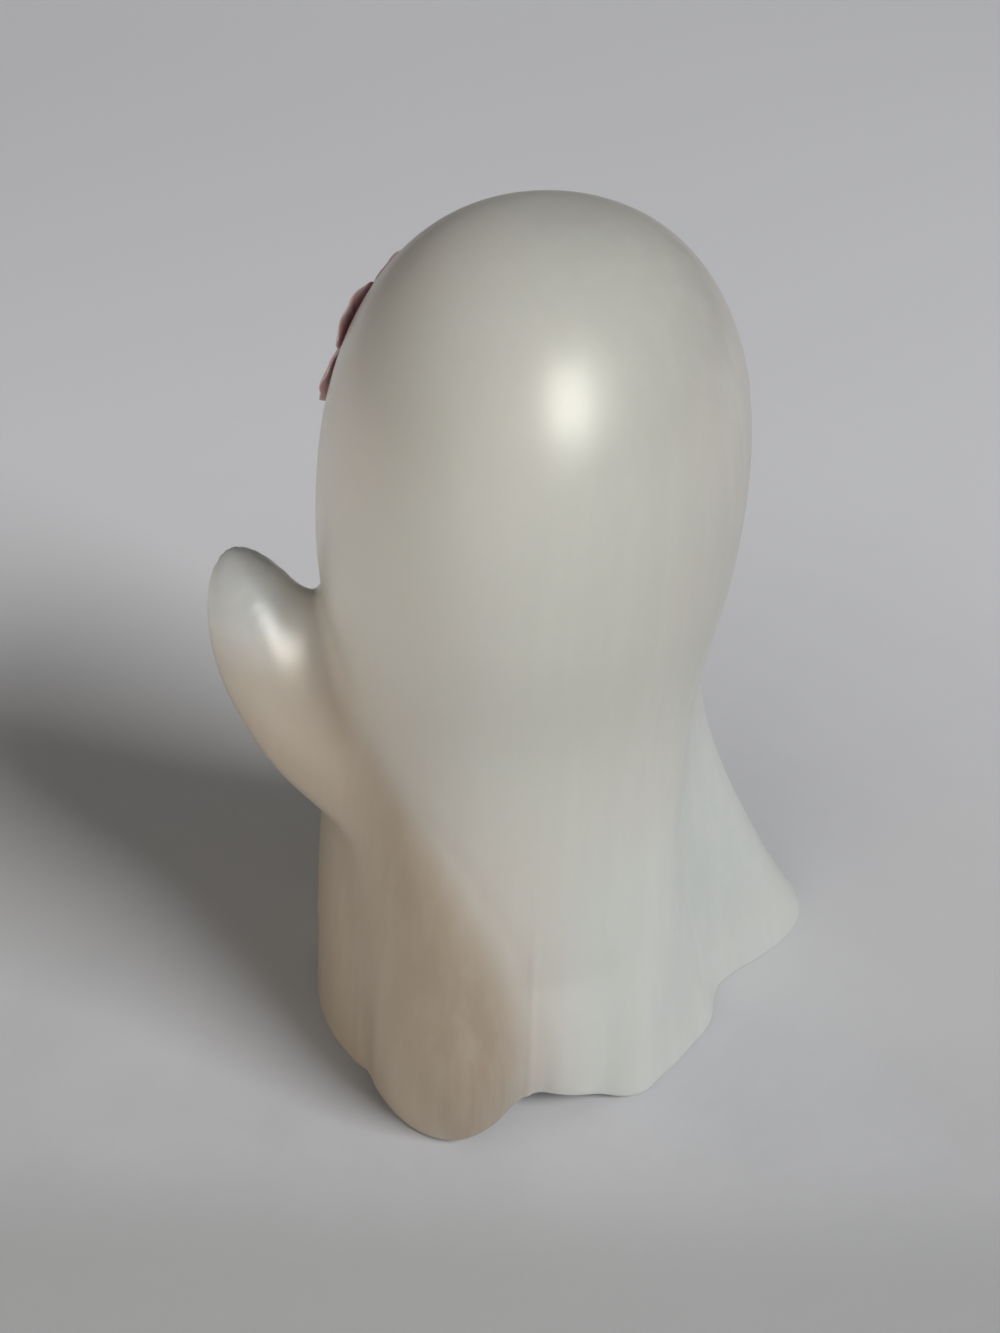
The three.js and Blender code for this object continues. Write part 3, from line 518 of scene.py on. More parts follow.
# Moves points near the arm onto the joined skin, and all others onto the sheet
def settle(points):
    x, y, z = unleaned(points).T
    low, high = arm["near"]
    near = ((points > low) & (points < high)).all(1)
    middle, power = sheet["headHeight"], sheet["domePower"]
    rise = np.maximum(z - middle, 0) / (sheet["tall"] - middle)
    reach = ((np.hypot(x, y) / sheet["headRadius"]) ** power + rise ** power) ** (1 / power)
    reach = np.where(z >= shellDetail["domeFrom"], reach, 1)
    domeZ = middle + (z - middle) / reach
    dome = np.stack([x / reach + leanAt(domeZ), y / reach, domeZ], -1)
    skin = onSheet(np.degrees(np.arctan2(y, x)), z)
    settled = np.where((z >= shellDetail["domeFrom"])[:, None], dome, skin)
    close = points[near]
    steps, longest = np.eye(3) * shellDetail["settleStep"], shellDetail["longestMove"]
    for _ in range(shellDetail["settlings"]):
        value = jointField(close)
        slope = np.stack([jointField(close + step) - jointField(close - step) for step in steps], -1)
        slope = slope / (2 * shellDetail["settleStep"])
        move = value / np.maximum((slope ** 2).sum(-1), shellDetail["leastSlope"])
        close = close - np.clip(move, -longest, longest)[:, None] * slope
    settled[near] = close
    return settled


# The head, arm and upper sheet as one even skin, open at the seam height
def upperSkin():
    points, faces = sheetSkin(shellDetail["seamHeight"] - shellDetail["spare"], 0.0, columns=180, rows=90)
    armPoints, armFaces = armSkin(0.0, rows=60, steps=64)
    faces += [tuple(index + len(points) for index in face) for face in armFaces]
    skin = meshObject("upperSkin", np.vstack([points, armPoints]) * mm, faces)
    applied(skin, "REMESH", mode="VOXEL", voxel_size=shellDetail["voxel"] * mm)
    fine = bmesh.new()
    fine.from_mesh(skin.data)
    bpy.data.objects.remove(skin)
    every = {"use_axis_x": True, "use_axis_y": True, "use_axis_z": True}
    for _ in range(shellDetail["smoothings"]):
        bmesh.ops.smooth_vert(fine, verts=fine.verts, factor=0.5, **every)
        settled = settle(np.array([vert.co for vert in fine.verts]) / mm)
        for vert, point in zip(fine.verts, settled * mm):
            vert.co = point
    seam = Vector((0, 0, shellDetail["seamHeight"] * mm))
    everything = fine.verts[:] + fine.edges[:] + fine.faces[:]
    upwards = (0, 0, 1)
    bmesh.ops.bisect_plane(
        fine, geom=everything, plane_co=seam, plane_no=upwards, clear_inner=True, dist=1e-7)
    fine.verts.index_update()
    points = np.array([vert.co for vert in fine.verts]) / mm
    faces = [[vert.index for vert in face.verts] for face in fine.faces]
    rim = {vert.index for edge in fine.edges if edge.is_boundary for vert in edge.verts}
    fine.free()
    return points, faces, sorted(rim, key=lambda index: math.atan2(points[index][1], points[index][0]))


# Rises and insets round a quarter of a circle of radius 1, from its side to its bottom
def quarter(start, end, count):
    return [(1 - math.sin(turn), 1 - math.cos(turn)) for turn in np.radians(np.linspace(start, end, count))]


# Rings of the drape from the seam height down, round the hem and up to the raised floor
def drapeRings():
    azimuth = np.linspace(-180, 180, shellDetail["columns"], endpoint=False)
    hem = hemHeight(azimuth)
    top = shellDetail["seamHeight"] - shellDetail["seamGap"]
    wall, edge = sheet["rimWall"], sheet["rimRound"]
    inner = edge * sheet["rimInnerShare"]
    floor, corner = sheet["floorHeight"], sheet["floorCorner"]
    under = floor - corner - hem - inner
    shares = np.linspace(0, 1, 34) ** 0.9  # the rows lie a little closer lower down
    path = [(top + (hem + edge - top) * share, 0.0) for share in shares]
    path += [(hem + edge * rise, edge * inwards) for rise, inwards in quarter(15, 90, 6)]
    path += [(hem + inner * rise, wall - inner * inwards) for rise, inwards in quarter(90, 0, 6)]
    path += [(hem + inner + under * share, wall) for share in np.linspace(0, 1, 9)[1:]]
    path += [(floor - corner * rise, wall + corner * inwards) for rise, inwards in quarter(18, 90, 5)]
    rings = [onSheet(azimuth, z, inside) for z, inside in path]
    core = shellDetail["core"]
    reach = sheetRadius(azimuth, floor) - wall - corner - core
    return rings + [fromAxis(azimuth, core + reach * share, floor) for share in (0.8, 0.6, 0.4, 0.2)]


# Triangles between two rings of points, each in order of azimuth
def zipper(upper, lower, points):
    beyond = 10  # more than any azimuth in radians

    def turnOf(ring, step):
        return math.atan2(points[ring[step]][1], points[ring[step]][0]) if step < len(ring) else beyond

    faces = []
    high, low = 0, 0
    while high < len(upper) or low < len(lower):
        last = (upper[high - 1], lower[low - 1])
        if turnOf(upper, high) < turnOf(lower, low):
            faces.append((*last, upper[high % len(upper)]))
            high += 1
        else:
            faces.append((*last, lower[low % len(lower)]))
            low += 1
    return faces


def outerSolid(name):
    points, faces, rim = upperSkin()
    rings = drapeRings()
    steps = shellDetail["columns"]
    first = len(points)
    points = np.vstack([points] + rings + [[[0, 0, sheet["floorHeight"]]]])
    faces += [face[::-1] for face in gridFaces(len(rings), steps, first)]
    faces += zipper(rim, list(range(first, first + steps)), points)
    last = first + (len(rings) - 1) * steps
    middle = len(points) - 1
    faces += [(middle, last + (step + 1) % steps, last + step) for step in range(steps)]
    solid = meshObject(name, placed(points), faces)
    edited(solid.data, lambda work: bmesh.ops.recalc_face_normals(work, faces=work.faces))
    return solid


# The pressed-in face, the hollow inside, the mouth for the light unit and the flower's peg hole

face = {
    "eyeWide": 10.0, "eyeTall": 17.0, "eyeApart": 26.0, "eyeHeight": 131.0,
    "mouthWide": 9.0, "mouthTall": 12.0, "mouthHeight": 107.0,
    "depth": 0.8, "slope": 1.3, "spread": 0.35,
    "near": ((-21, -99, 98), (21, -20, 143)),  # lowest and highest corners of the skin made finer for it
}
mouth = {"lap": 4.2, "notchReach": 2.5, "notchWide": 28.0, "notchTurn": 35.0, "notchCount": 3}
flower = {
    "azimuth": 306.0, "height": 150.0, "petals": 5,
    "turn": 24.0, "inner": 1.5, "middle": 9.9, "outer": 15.6, "halfWide": 6.7, "thick": 0.8, "gap": 0.3,
    "tipRise": 0.8, "cup": -0.85, "overlap": 0.3, "ripple": 0.16, "vein": 0.16, "notch": 0.45,
    "taper": 0.42, "notchHalf": 1.5, "veinHalf": 0.55, "ripples": 7,
    "pegRadius": 1.6, "barbRadius": 2.3, "pegBeyond": 3.0, "pegSlack": 0.3,
    "budRadius": 4.2, "budTall": 2.1, "budSeat": 2.4, "studRadius": 1.1, "studLong": 0.9,
    "seeds": 34, "seedRadius": 0.42, "seedShare": 0.84,  # how much of the bud the seeds' middles span
    "domeShare": (0.97, 0.86),  # how much of its radius and height the smooth dome under them takes
    "heartDown": 1.0, "faintDeep": 0.06, "faintFine": 3.1,  # a petal's middle, and faint folds in it
}


def faceOvals():
    side = face["eyeApart"] / 2
    for x, part in ((-side, "eye"), (side, "eye"), (0.0, "mouth")):
        yield x, face[part + "Height"], face[part + "Wide"] / 2, face[part + "Tall"] / 2


# Presses the eyes and the mouth into the front, on finer faces
def pressFace(fine):
    axis = np.array(bodyAxis)
    low, high = face["near"]
    points = (np.array([vert.co for vert in fine.verts]) - axis) / mm
    front = ((points > low) & (points < high)).all(1)
    edges = [edge for edge in fine.edges if all(front[vert.index] for vert in edge.verts)]
    bmesh.ops.subdivide_edges(fine, edges=edges, cuts=1, use_grid_fill=True)
    for vert in fine.verts:
        x, y, z = (np.array(vert.co) - axis) / mm
        if y > high[1]:
            continue
        for middle, height, half, tall in faceOvals():
            inside = (1 - math.hypot((x - middle) / half, (z - height) / tall)) * half
            depth = face["depth"] * smoothStep(inside / face["slope"] + face["spread"])
            if depth > 0:
                radius = math.hypot(x - leanAt(z), y)
                vert.co.x -= depth * (x - leanAt(z)) / radius * mm
                vert.co.y -= depth * y / radius * mm


def hollowSolid():
    foot = sheet["floorHeight"] + sheet["floorThick"]
    hollow = skinned("hollow", sheetSkin(foot, sheet["wall"], columns=144, rows=52), placed)
    combined(hollow, skinned("hollowArm", armSkin(sheet["wall"], rows=30, steps=28), placed), "UNION")
    return hollow


def mouthSolid():
    degrees = np.arange(0, 360, 1.0)
    radius = np.full(len(degrees), plugRadius / mm - mouth["lap"])
    for notch in range(mouth["notchCount"]):
        middle = 360 * notch / mouth["notchCount"] + mouth["notchTurn"]
        radius[np.abs(turnBetween(degrees, middle)) <= mouth["notchWide"] / 2] += mouth["notchReach"]
    low, high = sheet["floorHeight"] - 1, sheet["floorHeight"] + sheet["floorThick"] + 1
    rings = [ringOf(radius, np.radians(degrees), z) for z in (low, high)]
    return skinned("mouthHole", closedRings(rings, (0, 0, low), (0, 0, high)), placed)


def headNormal(azimuth, z, turn=0.5, rise=0.2):
    here = onSheet(azimuth, z)
    return unit(np.cross(onSheet(azimuth + turn, z) - here, onSheet(azimuth, z + rise) - here))


# Wraps flat flower points over the head: x round it, y up it and z off its skin
def overHead(points):
    points = np.asarray(points, float)
    z = np.full(len(points), flower["height"])
    steps = 8
    for _ in range(steps):
        slope = headNormal(flower["azimuth"], z)[:, 2]
        z = z + points[:, 1] / steps * np.sqrt(1 - slope ** 2)
    azimuth = flower["azimuth"] + np.degrees(points[:, 0] / sheetRadius(0, z))
    return placed(onSheet(azimuth, z) + headNormal(azimuth, z) * points[:, 2:])


# Places a straight piece that stands on the head at the flower's middle
def onHead(points):
    outward = headNormal(flower["azimuth"], flower["height"])
    side = unit(np.cross((0, 0, 1), outward))
    turn = np.stack([side, np.cross(outward, side), outward])
    return placed(np.asarray(points) @ turn + onSheet(flower["azimuth"], flower["height"]))


def makeShell():
    shell = outerSolid("ghostShell")
    edited(shell.data, pressFace)
    reach = 2 * sheet["wall"] + 2
    hole = flower["pegRadius"] + flower["pegSlack"]
    pegHole = skinned("pegHole", lathed([(0, -reach), (hole, -reach), (hole, 2), (0, 2)], 32), onHead)
    for cutter in (hollowSolid(), mouthSolid(), pegHole):
        combined(shell, cutter)
    standFor(shell, "ghost_shell", 50)
    print("shell", len(shell.data.polygons), "faces")


# Helpers for materials

# A material from its shader's plain settings and from layers: a function that gives its patterned colour,
# roughness and bumps, and for some its metal
def newMaterial(name, layers, look, **settings):
    material = bpy.data.materials.new(name)
    material.use_nodes = True
    tree = material.node_tree
    patterned = dict(zip(("Base Color", "Roughness", "Normal", "Metallic"), layers(tree, look)))
    for key, value in {**settings, **patterned}.items():
        socket = tree.nodes["Principled BSDF"].inputs[key.replace("_", " ")]
        if isinstance(value, bpy.types.NodeSocket):
            tree.links.new(value, socket)
        else:
            socket.default_value = value
    return material


def placeOf(tree, scale=(1, 1, 1), move=(0, 0, 0), turn=(0, 0, 0)):
    coords = addNode(tree, "ShaderNodeTexCoord").outputs["Object"]
    return nodeOf("ShaderNodeMapping", {"Vector": coords, "Location": move, "Rotation": turn, "Scale": scale})


def noiseOf(place, scale, detail=3.0, roughness=0.5):
    inputs = {"Vector": place, "Scale": scale, "Detail": detail, "Roughness": roughness}
    return nodeOf("ShaderNodeTexNoise", inputs)


def rangeOf(value, low, high, toLow=0.0, toHigh=1.0, kind="LINEAR"):
    inputs = {"Value": value, "From Min": low, "From Max": high, "To Min": toLow, "To Max": toHigh}
    return nodeOf("ShaderNodeMapRange", inputs, interpolation_type=kind)


def fade(value, low, high, toLow=0.0, toHigh=1.0):
    return rangeOf(value, low, high, toLow, toHigh, "SMOOTHSTEP")


def mixOf(factor, a, b, blend="MIX"):
    return nodeOf("ShaderNodeMix", {0: factor, 6: a, 7: b}, 2, data_type="RGBA", blend_type=blend)


# Bumps over one another, each from its height, strength and depth in metres
def bumpOf(*bumps):
    below = {}
    for height, strength, depth in bumps:
        inputs = {"Height": height, "Strength": strength, "Distance": depth, **below}
        normal = nodeOf("ShaderNodeBump", inputs)
        below = {"Normal": normal}
    return normal


# Small round spots at some of a pattern's cells, as many and as large as a noise lets them
def spotsOf(place, scale, noise, least, most, size):
    cells = nodeOf("ShaderNodeTexVoronoi", {"Vector": place, "Scale": scale, "Randomness": 1.0}, "Distance")
    return mathOf("LESS_THAN", cells, rangeOf(noise, least, most, 0.0, size))


# How far a place is from a point, with each direction weighed
def farFrom(tree, point, weights=(1, 1, 1)):
    away = placeOf(tree, move=tuple(-point))
    return vectorOf("LENGTH", vectorOf("MULTIPLY", away, weights), output="Value")


# Pearly translucent plastic of the shell, with painted eyes and mouth

pearl = {
    "neutral": (0.62, 0.605, 0.555, 1), "green": (0.60, 0.61, 0.555, 1), "rose": (0.63, 0.58, 0.53, 1),
    # Colours of painted shade for under the arm, along the slanting fold and near the armpit
    "warm": (0.45, 0.375, 0.285, 1), "amber": (0.32, 0.26, 0.20, 1), "blush": (0.50, 0.435, 0.37, 1),
    # A paler colour of painted light for the arm's upper end
    "pale": (0.68, 0.70, 0.69, 1), "cool": (0.60, 0.63, 0.60, 1), "streak": (0.8, 0.79, 0.75, 1),
    "speck": (0.16, 0.14, 0.12, 1), "paint": (0.018, 0.017, 0.018, 1),
    "armShadeAt": (41.0, -1.0, 82.0), "coolAt": (-62.0, 6.0, 20.0), "crestShift": 0.13,
    "even": 1.01,  # how bright the wall is, then how much painted light one side gets and painted shade the other, which side, and how far over
    "thin": 0.32, "sideLightTowards": -15.0, "sideLightReach": 0.038,
    "patches": 14.0, "streaks": 260.0, "specks": 85.0, "grain": 1700.0, "waves": 55.0,  # how fine each is
    "satin": (0.34, 0.42), "paintGloss": 0.22,
}
pearlTones = (  # tones over one another, each as strong as the product of its fades, in metres and radians
    # The first three tones are painted shade, darker and warmer, under the arm, along the slanting fold and
    # near the armpit
    ("warm", ("besideFold", -0.32, -0.08), ("up", 0.072, 0.105, 1.0, 0.0), ("round", -1.3, -0.4)),
    ("amber", ("offCrest", 0.0, 0.37, 1.0, 0.0), ("up", 0.02, 0.07, 1.0, 0.5),
     ("up", 0.072, 0.105, 1.0, 0.0)),
    ("blush", ("fromArmpit", 0.006, 0.034, 0.5, 0.0)),
    # Painted light: the arm's upper end is lighter
    ("pale", ("out", 0.036, 0.046), ("up", 0.092, 0.108)),
)


def pearlLayers(tree, look):
    place = placeOf(tree, move=tuple(-bodyAxis))
    x, y, z = addNode(tree, "ShaderNodeSeparateXYZ", {0: place}).outputs
    tint = mixOf(fade(noiseOf(place, look["patches"], 2.0), 0.38, 0.62), look["green"], look["rose"])
    colour = mixOf(0.5, look["neutral"], tint)

    # Painted shade, darker and warmer, under the arm up to the slanting fold, darkest along the fold and near
    # the armpit, and painted light on the arm's upper end
    azimuth = mathOf("ARCTAN2", y, x)
    drape = sheet["drape"]
    drift = times(mathOf("POWER", mathOf("DIVIDE", z, drape["tall"] * mm), 3.0), math.radians(drape["drift"]))
    beside = mathOf("SUBTRACT", mathOf("SUBTRACT", math.radians(drape["at"]), drift), azimuth)
    measures = {
        "out": x, "up": z, "round": azimuth, "besideFold": beside,
        "offCrest": mathOf("ABSOLUTE", mathOf("ADD", beside, look["crestShift"])),
        "fromArmpit": farFrom(tree, placed(look["armShadeAt"]), (1, 0.8, 0.8))}
    for tone, *fades in pearlTones:
        colour = mixOf(times(*(fade(measures[key], *ends) for key, *ends in fades)), colour, look[tone])

    # The sweep and the back's low part are cool
    back = times(fade(azimuth, 1.1, 1.6, 0.0, 0.8), fade(z, 0.05, 0.10, 1.0, 0.0))
    sweep = fade(farFrom(tree, placed(look["coolAt"]), (1, 1, 0.5)), 0.01, 0.045, 0.8, 0.0)
    colour = mixOf(mathOf("MAXIMUM", sweep, back), colour, look["cool"])

    # Painted light and painted shade: lighter on the arm's side and darker on the other, most of all in the
    # head
    side = vectorOf("DOT_PRODUCT", place, direction(look["sideLightTowards"], 0), "Value")
    much = fade(z, 0.05, 0.13, 0.35 * look["thin"], look["thin"])
    paintedSideLight = times(rangeOf(side, -look["sideLightReach"], look["sideLightReach"], -1.0, 1.0), much)
    colour = mixOf(1.0, colour, mathOf("ADD", paintedSideLight, look["even"]), "MULTIPLY")

    # Flow lines down the moulding and a few specks
    streaks = noiseOf(placeOf(tree, scale=(1, 1, 0.06)), look["streaks"], 3.0, 0.6)
    colour = mixOf(rangeOf(streaks, 0.45, 0.7, 0.0, 0.08), colour, look["streak"])
    specks = spotsOf(place, look["specks"], noiseOf(place, 40.0), 0.55, 0.75, 0.035)
    colour = mixOf(times(specks, 0.8), colour, look["speck"])

    # Painted ovals of the face
    painted = 0.0
    for middle, height, half, tall in faceOvals():
        across = mathOf("DIVIDE", mathOf("SUBTRACT", x, middle * mm), half * mm)
        rise = mathOf("DIVIDE", mathOf("SUBTRACT", z, height * mm), tall * mm)
        square = mathOf("ADD", mathOf("POWER", across, 2.0), mathOf("POWER", rise, 2.0))
        painted = mathOf("MAXIMUM", rangeOf(square, 0.90, 0.95, 1.0, 0.0), painted)
    painted = times(painted, mathOf("LESS_THAN", y, face["near"][1][1] * mm))
    satin = rangeOf(noiseOf(place, 90.0, 4.0), 0.3, 0.7, *look["satin"])
    gloss = nodeOf("ShaderNodeMix", {0: painted, 2: satin, 3: look["paintGloss"]}, data_type="FLOAT")
    waves = noiseOf(placeOf(tree, scale=(1, 1, 0.4)), look["waves"], 2.0)
    grain = noiseOf(place, look["grain"], 2.0, 0.6)
    return mixOf(painted, colour, look["paint"]), gloss, bumpOf((grain, 0.35, 0.00003), (waves, 0.2, 0.0003))


# Plain moulded plastics: two near colours in soft patches, fine grain and rubbed places

plastics = {  # the two colours, the least and most roughness, and how fine the patches are
    "bud_cream": ((0.72, 0.60, 0.34, 1), (0.64, 0.48, 0.24, 1), (0.36, 0.5), 300),
    "white_plastic": ((0.70, 0.69, 0.65, 1), (0.64, 0.63, 0.57, 1), (0.38, 0.52), 70),
    "black_plastic": ((0.014, 0.015, 0.017, 1), (0.03, 0.03, 0.033, 1), (0.3, 0.5), 220),
    "red_cover": ((0.42, 0.02, 0.016, 1), (0.34, 0.014, 0.012, 1), (0.35, 0.5), 160),
    "black_cover": ((0.012, 0.012, 0.014, 1), (0.022, 0.022, 0.024, 1), (0.35, 0.5), 160),
    "white_cover": ((0.70, 0.70, 0.70, 1), (0.60, 0.60, 0.58, 1), (0.35, 0.5), 160),
}
dustColour = (0.35, 0.33, 0.30, 1)


def plasticLayers(tree, look):
    main, other, gloss, fine = look
    place = placeOf(tree)
    colour = mixOf(fade(noiseOf(place, fine), 0.36, 0.64), main, other)
    dust = rangeOf(noiseOf(place, 900.0, 2.0), 0.66, 0.74, 0.0, 0.25)
    rubbed = noiseOf(placeOf(tree, scale=(1, 0.25, 1), turn=(0, 0, 0.6)), 240.0, 4.0, 0.6)
    grain, dents = noiseOf(place, 2600.0, 2.0), noiseOf(place, 180.0, 2.0)
    return (mixOf(dust, colour, dustColour), rangeOf(rubbed, 0.35, 0.65, *gloss),
            bumpOf((grain, 0.3, 0.00002), (dents, 0.15, 0.0001)))


# Metals: drawn or turned scratches over patches of dull film

metals = {  # bare and dull colour, the least and most roughness, and the scratches' direction
    "steel": ((0.56, 0.57, 0.58, 1), (0.36, 0.35, 0.33, 1), (0.26, 0.42), (1, 1, 0.08)),
    "cell_steel": ((0.66, 0.66, 0.65, 1), (0.50, 0.49, 0.46, 1), (0.16, 0.30), (0.08, 1, 1)),
    "brass": ((0.66, 0.47, 0.18, 1), (0.38, 0.25, 0.09, 1), (0.24, 0.40), (1, 0.08, 1)),
}


def metalLayers(tree, look):
    bare, dull, gloss, along = look
    film = fade(noiseOf(placeOf(tree), 260.0, 4.0, 0.6), 0.48, 0.72, 0.0, 0.7)
    scratches = noiseOf(placeOf(tree, scale=along), 3200.0, 4.0, 0.65)
    rough = mathOf("ADD", rangeOf(scratches, 0.35, 0.65, *gloss), times(film, 0.18))
    return mixOf(film, bare, dull), rough, bumpOf((scratches, 0.25, 0.000015))


# Dusty-pink plastic of the petals: paler towards the rims, with a deeper heart

petal = {"rim": (0.72, 0.53, 0.60, 1), "heart": (0.58, 0.36, 0.43, 1), "pale": (0.82, 0.70, 0.71, 1),
         "heartEnds": (0.003, 0.012), "paleFrom": (0.0125, 0.0175)}  # metres from the middle


def petalLayers(tree, look):
    place = placeOf(tree)
    away = farFrom(tree, onHead(np.zeros(3)))
    colour = mixOf(fade(away, *look["heartEnds"]), look["heart"], look["rim"])
    colour = mixOf(fade(away, *look["paleFrom"], 0.0, 0.6), colour, look["pale"])
    clouds = fade(noiseOf(place, 240.0), 0.4, 0.65, 0.0, 0.25)
    grain, dents = noiseOf(place, 2200.0, 2.0), noiseOf(place, 420.0, 2.0)
    satin = rangeOf(noiseOf(place, 420.0), 0.35, 0.65, 0.38, 0.52)
    return mixOf(clouds, colour, look["heart"]), satin, bumpOf((grain, 0.3, 0.00003), (dents, 0.2, 0.00012))


# Green laminate with tracks under its varnish

board = {"dark": (0.012, 0.10, 0.035, 1), "light": (0.018, 0.13, 0.05, 1), "track": (0.06, 0.26, 0.09, 1)}


def boardLayers(tree, look):
    place = placeOf(tree, move=tuple(-bodyAxis), turn=(0, 0, 0.4))
    inputs = {"Vector": place, "Scale": 230.0, "Randomness": 0.55}
    cells = nodeOf("ShaderNodeTexVoronoi", inputs, "Distance", distance="MANHATTAN", feature="F1")
    track = rangeOf(cells, 0.52, 0.58)
    weave = noiseOf(placeOf(tree, scale=(1, 1, 3)), 1500.0, 2.0)
    colour = mixOf(rangeOf(weave, 0.4, 0.6), look["dark"], look["light"])
    colour = mixOf(times(track, 0.65), colour, look["track"])
    return colour, rangeOf(weave, 0.4, 0.6, 0.3, 0.42), bumpOf((track, 0.4, 0.00004))


# Tan glaze of the resistor with its painted bands and bare ends

resistor = {
    "light": (0.58, 0.42, 0.24, 1), "dark": (0.50, 0.34, 0.18, 1), "bare": (0.56, 0.56, 0.55, 1),
    "bands": ((-0.0017, (0.10, 0.03, 0.01, 1)), (-0.0006, (0.012, 0.012, 0.012, 1)),  # metres along it
              (0.0005, (0.10, 0.03, 0.01, 1)), (0.0018, (0.50, 0.33, 0.07, 1))),
    "bandHalf": (0.00028, 0.00034), "bodyHalf": 0.0031,
}


def resistorLayers(tree, look):
    low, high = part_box("resistor")
    place = placeOf(tree, move=(0, -(low.y + high.y) / 2, 0))
    along = nodeOf("ShaderNodeSeparateXYZ", {0: place}, 1)
    mottled = rangeOf(noiseOf(place, 700.0), 0.4, 0.6)
    colour = mixOf(mottled, look["light"], look["dark"])
    for at, paint in look["bands"]:
        off = mathOf("ABSOLUTE", mathOf("SUBTRACT", along, at))
        colour = mixOf(rangeOf(off, *look["bandHalf"], 1.0, 0.0), colour, paint)
    lead = mathOf("GREATER_THAN", mathOf("ABSOLUTE", along), look["bodyHalf"])
    grain = noiseOf(place, 1800.0)
    rough = rangeOf(mottled, 0.0, 1.0, 0.28, 0.4)
    return mixOf(lead, colour, look["bare"]), rough, bumpOf((grain, 0.2, 0.00003)), lead


# Clear resin of the lamp and the frosted plastic of the diffuser

resin = ((0.93, 0.92, 0.80, 1), (0.86, 0.84, 0.68, 1))
frost = ((0.78, 0.78, 0.76, 1), (0.72, 0.72, 0.69, 1))


def resinLayers(tree, look):
    place = placeOf(tree)
    haze = noiseOf(place, 500.0)
    rough = rangeOf(haze, 0.35, 0.65, 0.06, 0.16)
    return mixOf(rangeOf(haze, 0.35, 0.65), *look), rough, bumpOf((noiseOf(place, 900.0, 2.0), 0.1, 0.00003))


def frostLayers(tree, look):
    place = placeOf(tree)
    grain = noiseOf(place, 1400.0, 3.0, 0.65)
    colour = mixOf(rangeOf(noiseOf(place, 60.0), 0.4, 0.6), *look)
    return colour, rangeOf(grain, 0.35, 0.65, 0.55, 0.72), bumpOf((grain, 0.35, 0.00005))


finishes = {}
for slot, look in plastics.items():
    finishes[slot] = newMaterial(camelName(slot), plasticLayers, look, IOR=1.49)
for slot, look in metals.items():
    finishes[slot] = newMaterial(camelName(slot), metalLayers, look, Metallic=1.0)
finishes["pearl_shell"] = newMaterial(
    "pearlPlastic", pearlLayers, pearl, Metallic=0.25, IOR=1.5, Coat_Weight=0.3, Coat_Roughness=0.22,
    Subsurface_Weight=0.5, Subsurface_Scale=0.006, Subsurface_Radius=(1.0, 0.85, 0.62))
finishes["petal_rose"] = newMaterial(
    "petalRose", petalLayers, petal, IOR=1.48, Sheen_Weight=0.12,
    Subsurface_Weight=0.4, Subsurface_Scale=0.002)
finishes["board_green"] = newMaterial(
    "boardGreen", boardLayers, board, IOR=1.5, Coat_Weight=0.5, Coat_Roughness=0.15)
finishes["resistor_glaze"] = newMaterial(
    "resistorGlaze", resistorLayers, resistor, IOR=1.52, Coat_Weight=0.4, Coat_Roughness=0.2)
finishes["clear_resin"] = newMaterial("clearResin", resinLayers, resin, IOR=1.54, Transmission_Weight=0.85)
finishes["frosted"] = newMaterial(
    "frostedPlastic", frostLayers, frost, IOR=1.46, Transmission_Weight=0.35, Subsurface_Weight=0.3,
    Subsurface_Scale=0.003)
print("materials")

makeShell()


# The flower: five lapped petals in one moulding with its middle and barbed peg, and the seeded bud

def petalShape():
    look = flower
    rim = np.linspace(0, 2 * np.pi, 56, endpoint=False)
    rise = np.sin(rim)
    x = look["halfWide"] * np.cos(rim) * (1 - look["taper"] * np.maximum(-rise, 0) ** 2)
    reach = np.where(rise > 0, look["outer"] - look["middle"], look["middle"] - look["inner"])
    y = look["middle"] + reach * rise
    y = y - look["notch"] * np.exp(-(x / look["notchHalf"]) ** 2) * (rise > 0)
    shares = np.sin(np.linspace(0.12, 1, 12) * np.pi / 2)
    rings = []
    for side, share in [(-1, share) for share in shares] + [(1, share) for share in shares[-2::-1]]:
        across = x * share
        up = look["middle"] - look["heartDown"] * (1 - share) + (y - look["middle"]) * share
        out = across / look["halfWide"]
        lift = look["gap"] + look["thick"] / 2 + look["ripple"]
        lift = lift + look["overlap"] * (0.5 + 0.5 * out) + look["cup"] * out ** 2
        lift = lift + look["tipRise"] * (np.hypot(across, up) / look["outer"]) ** 3
        lift = lift + look["ripple"] * np.sin(look["ripples"] * rim + 0.6) * share ** 3
        lift = lift - look["vein"] * np.exp(-(across / look["veinHalf"]) ** 2) * (1 - 0.7 * share)
        lift = lift - look["faintDeep"] * np.cos(across * look["faintFine"]) * (1 - share ** 2)
        half = look["thick"] / 2 * math.sqrt(max(1 - share ** 5, 0.0))
        rings.append(np.stack([across, up, lift + side * half], -1))
    return skinned("petalShape", closedRings(rings, rings[0].mean(0), rings[-1].mean(0)), np.asarray)


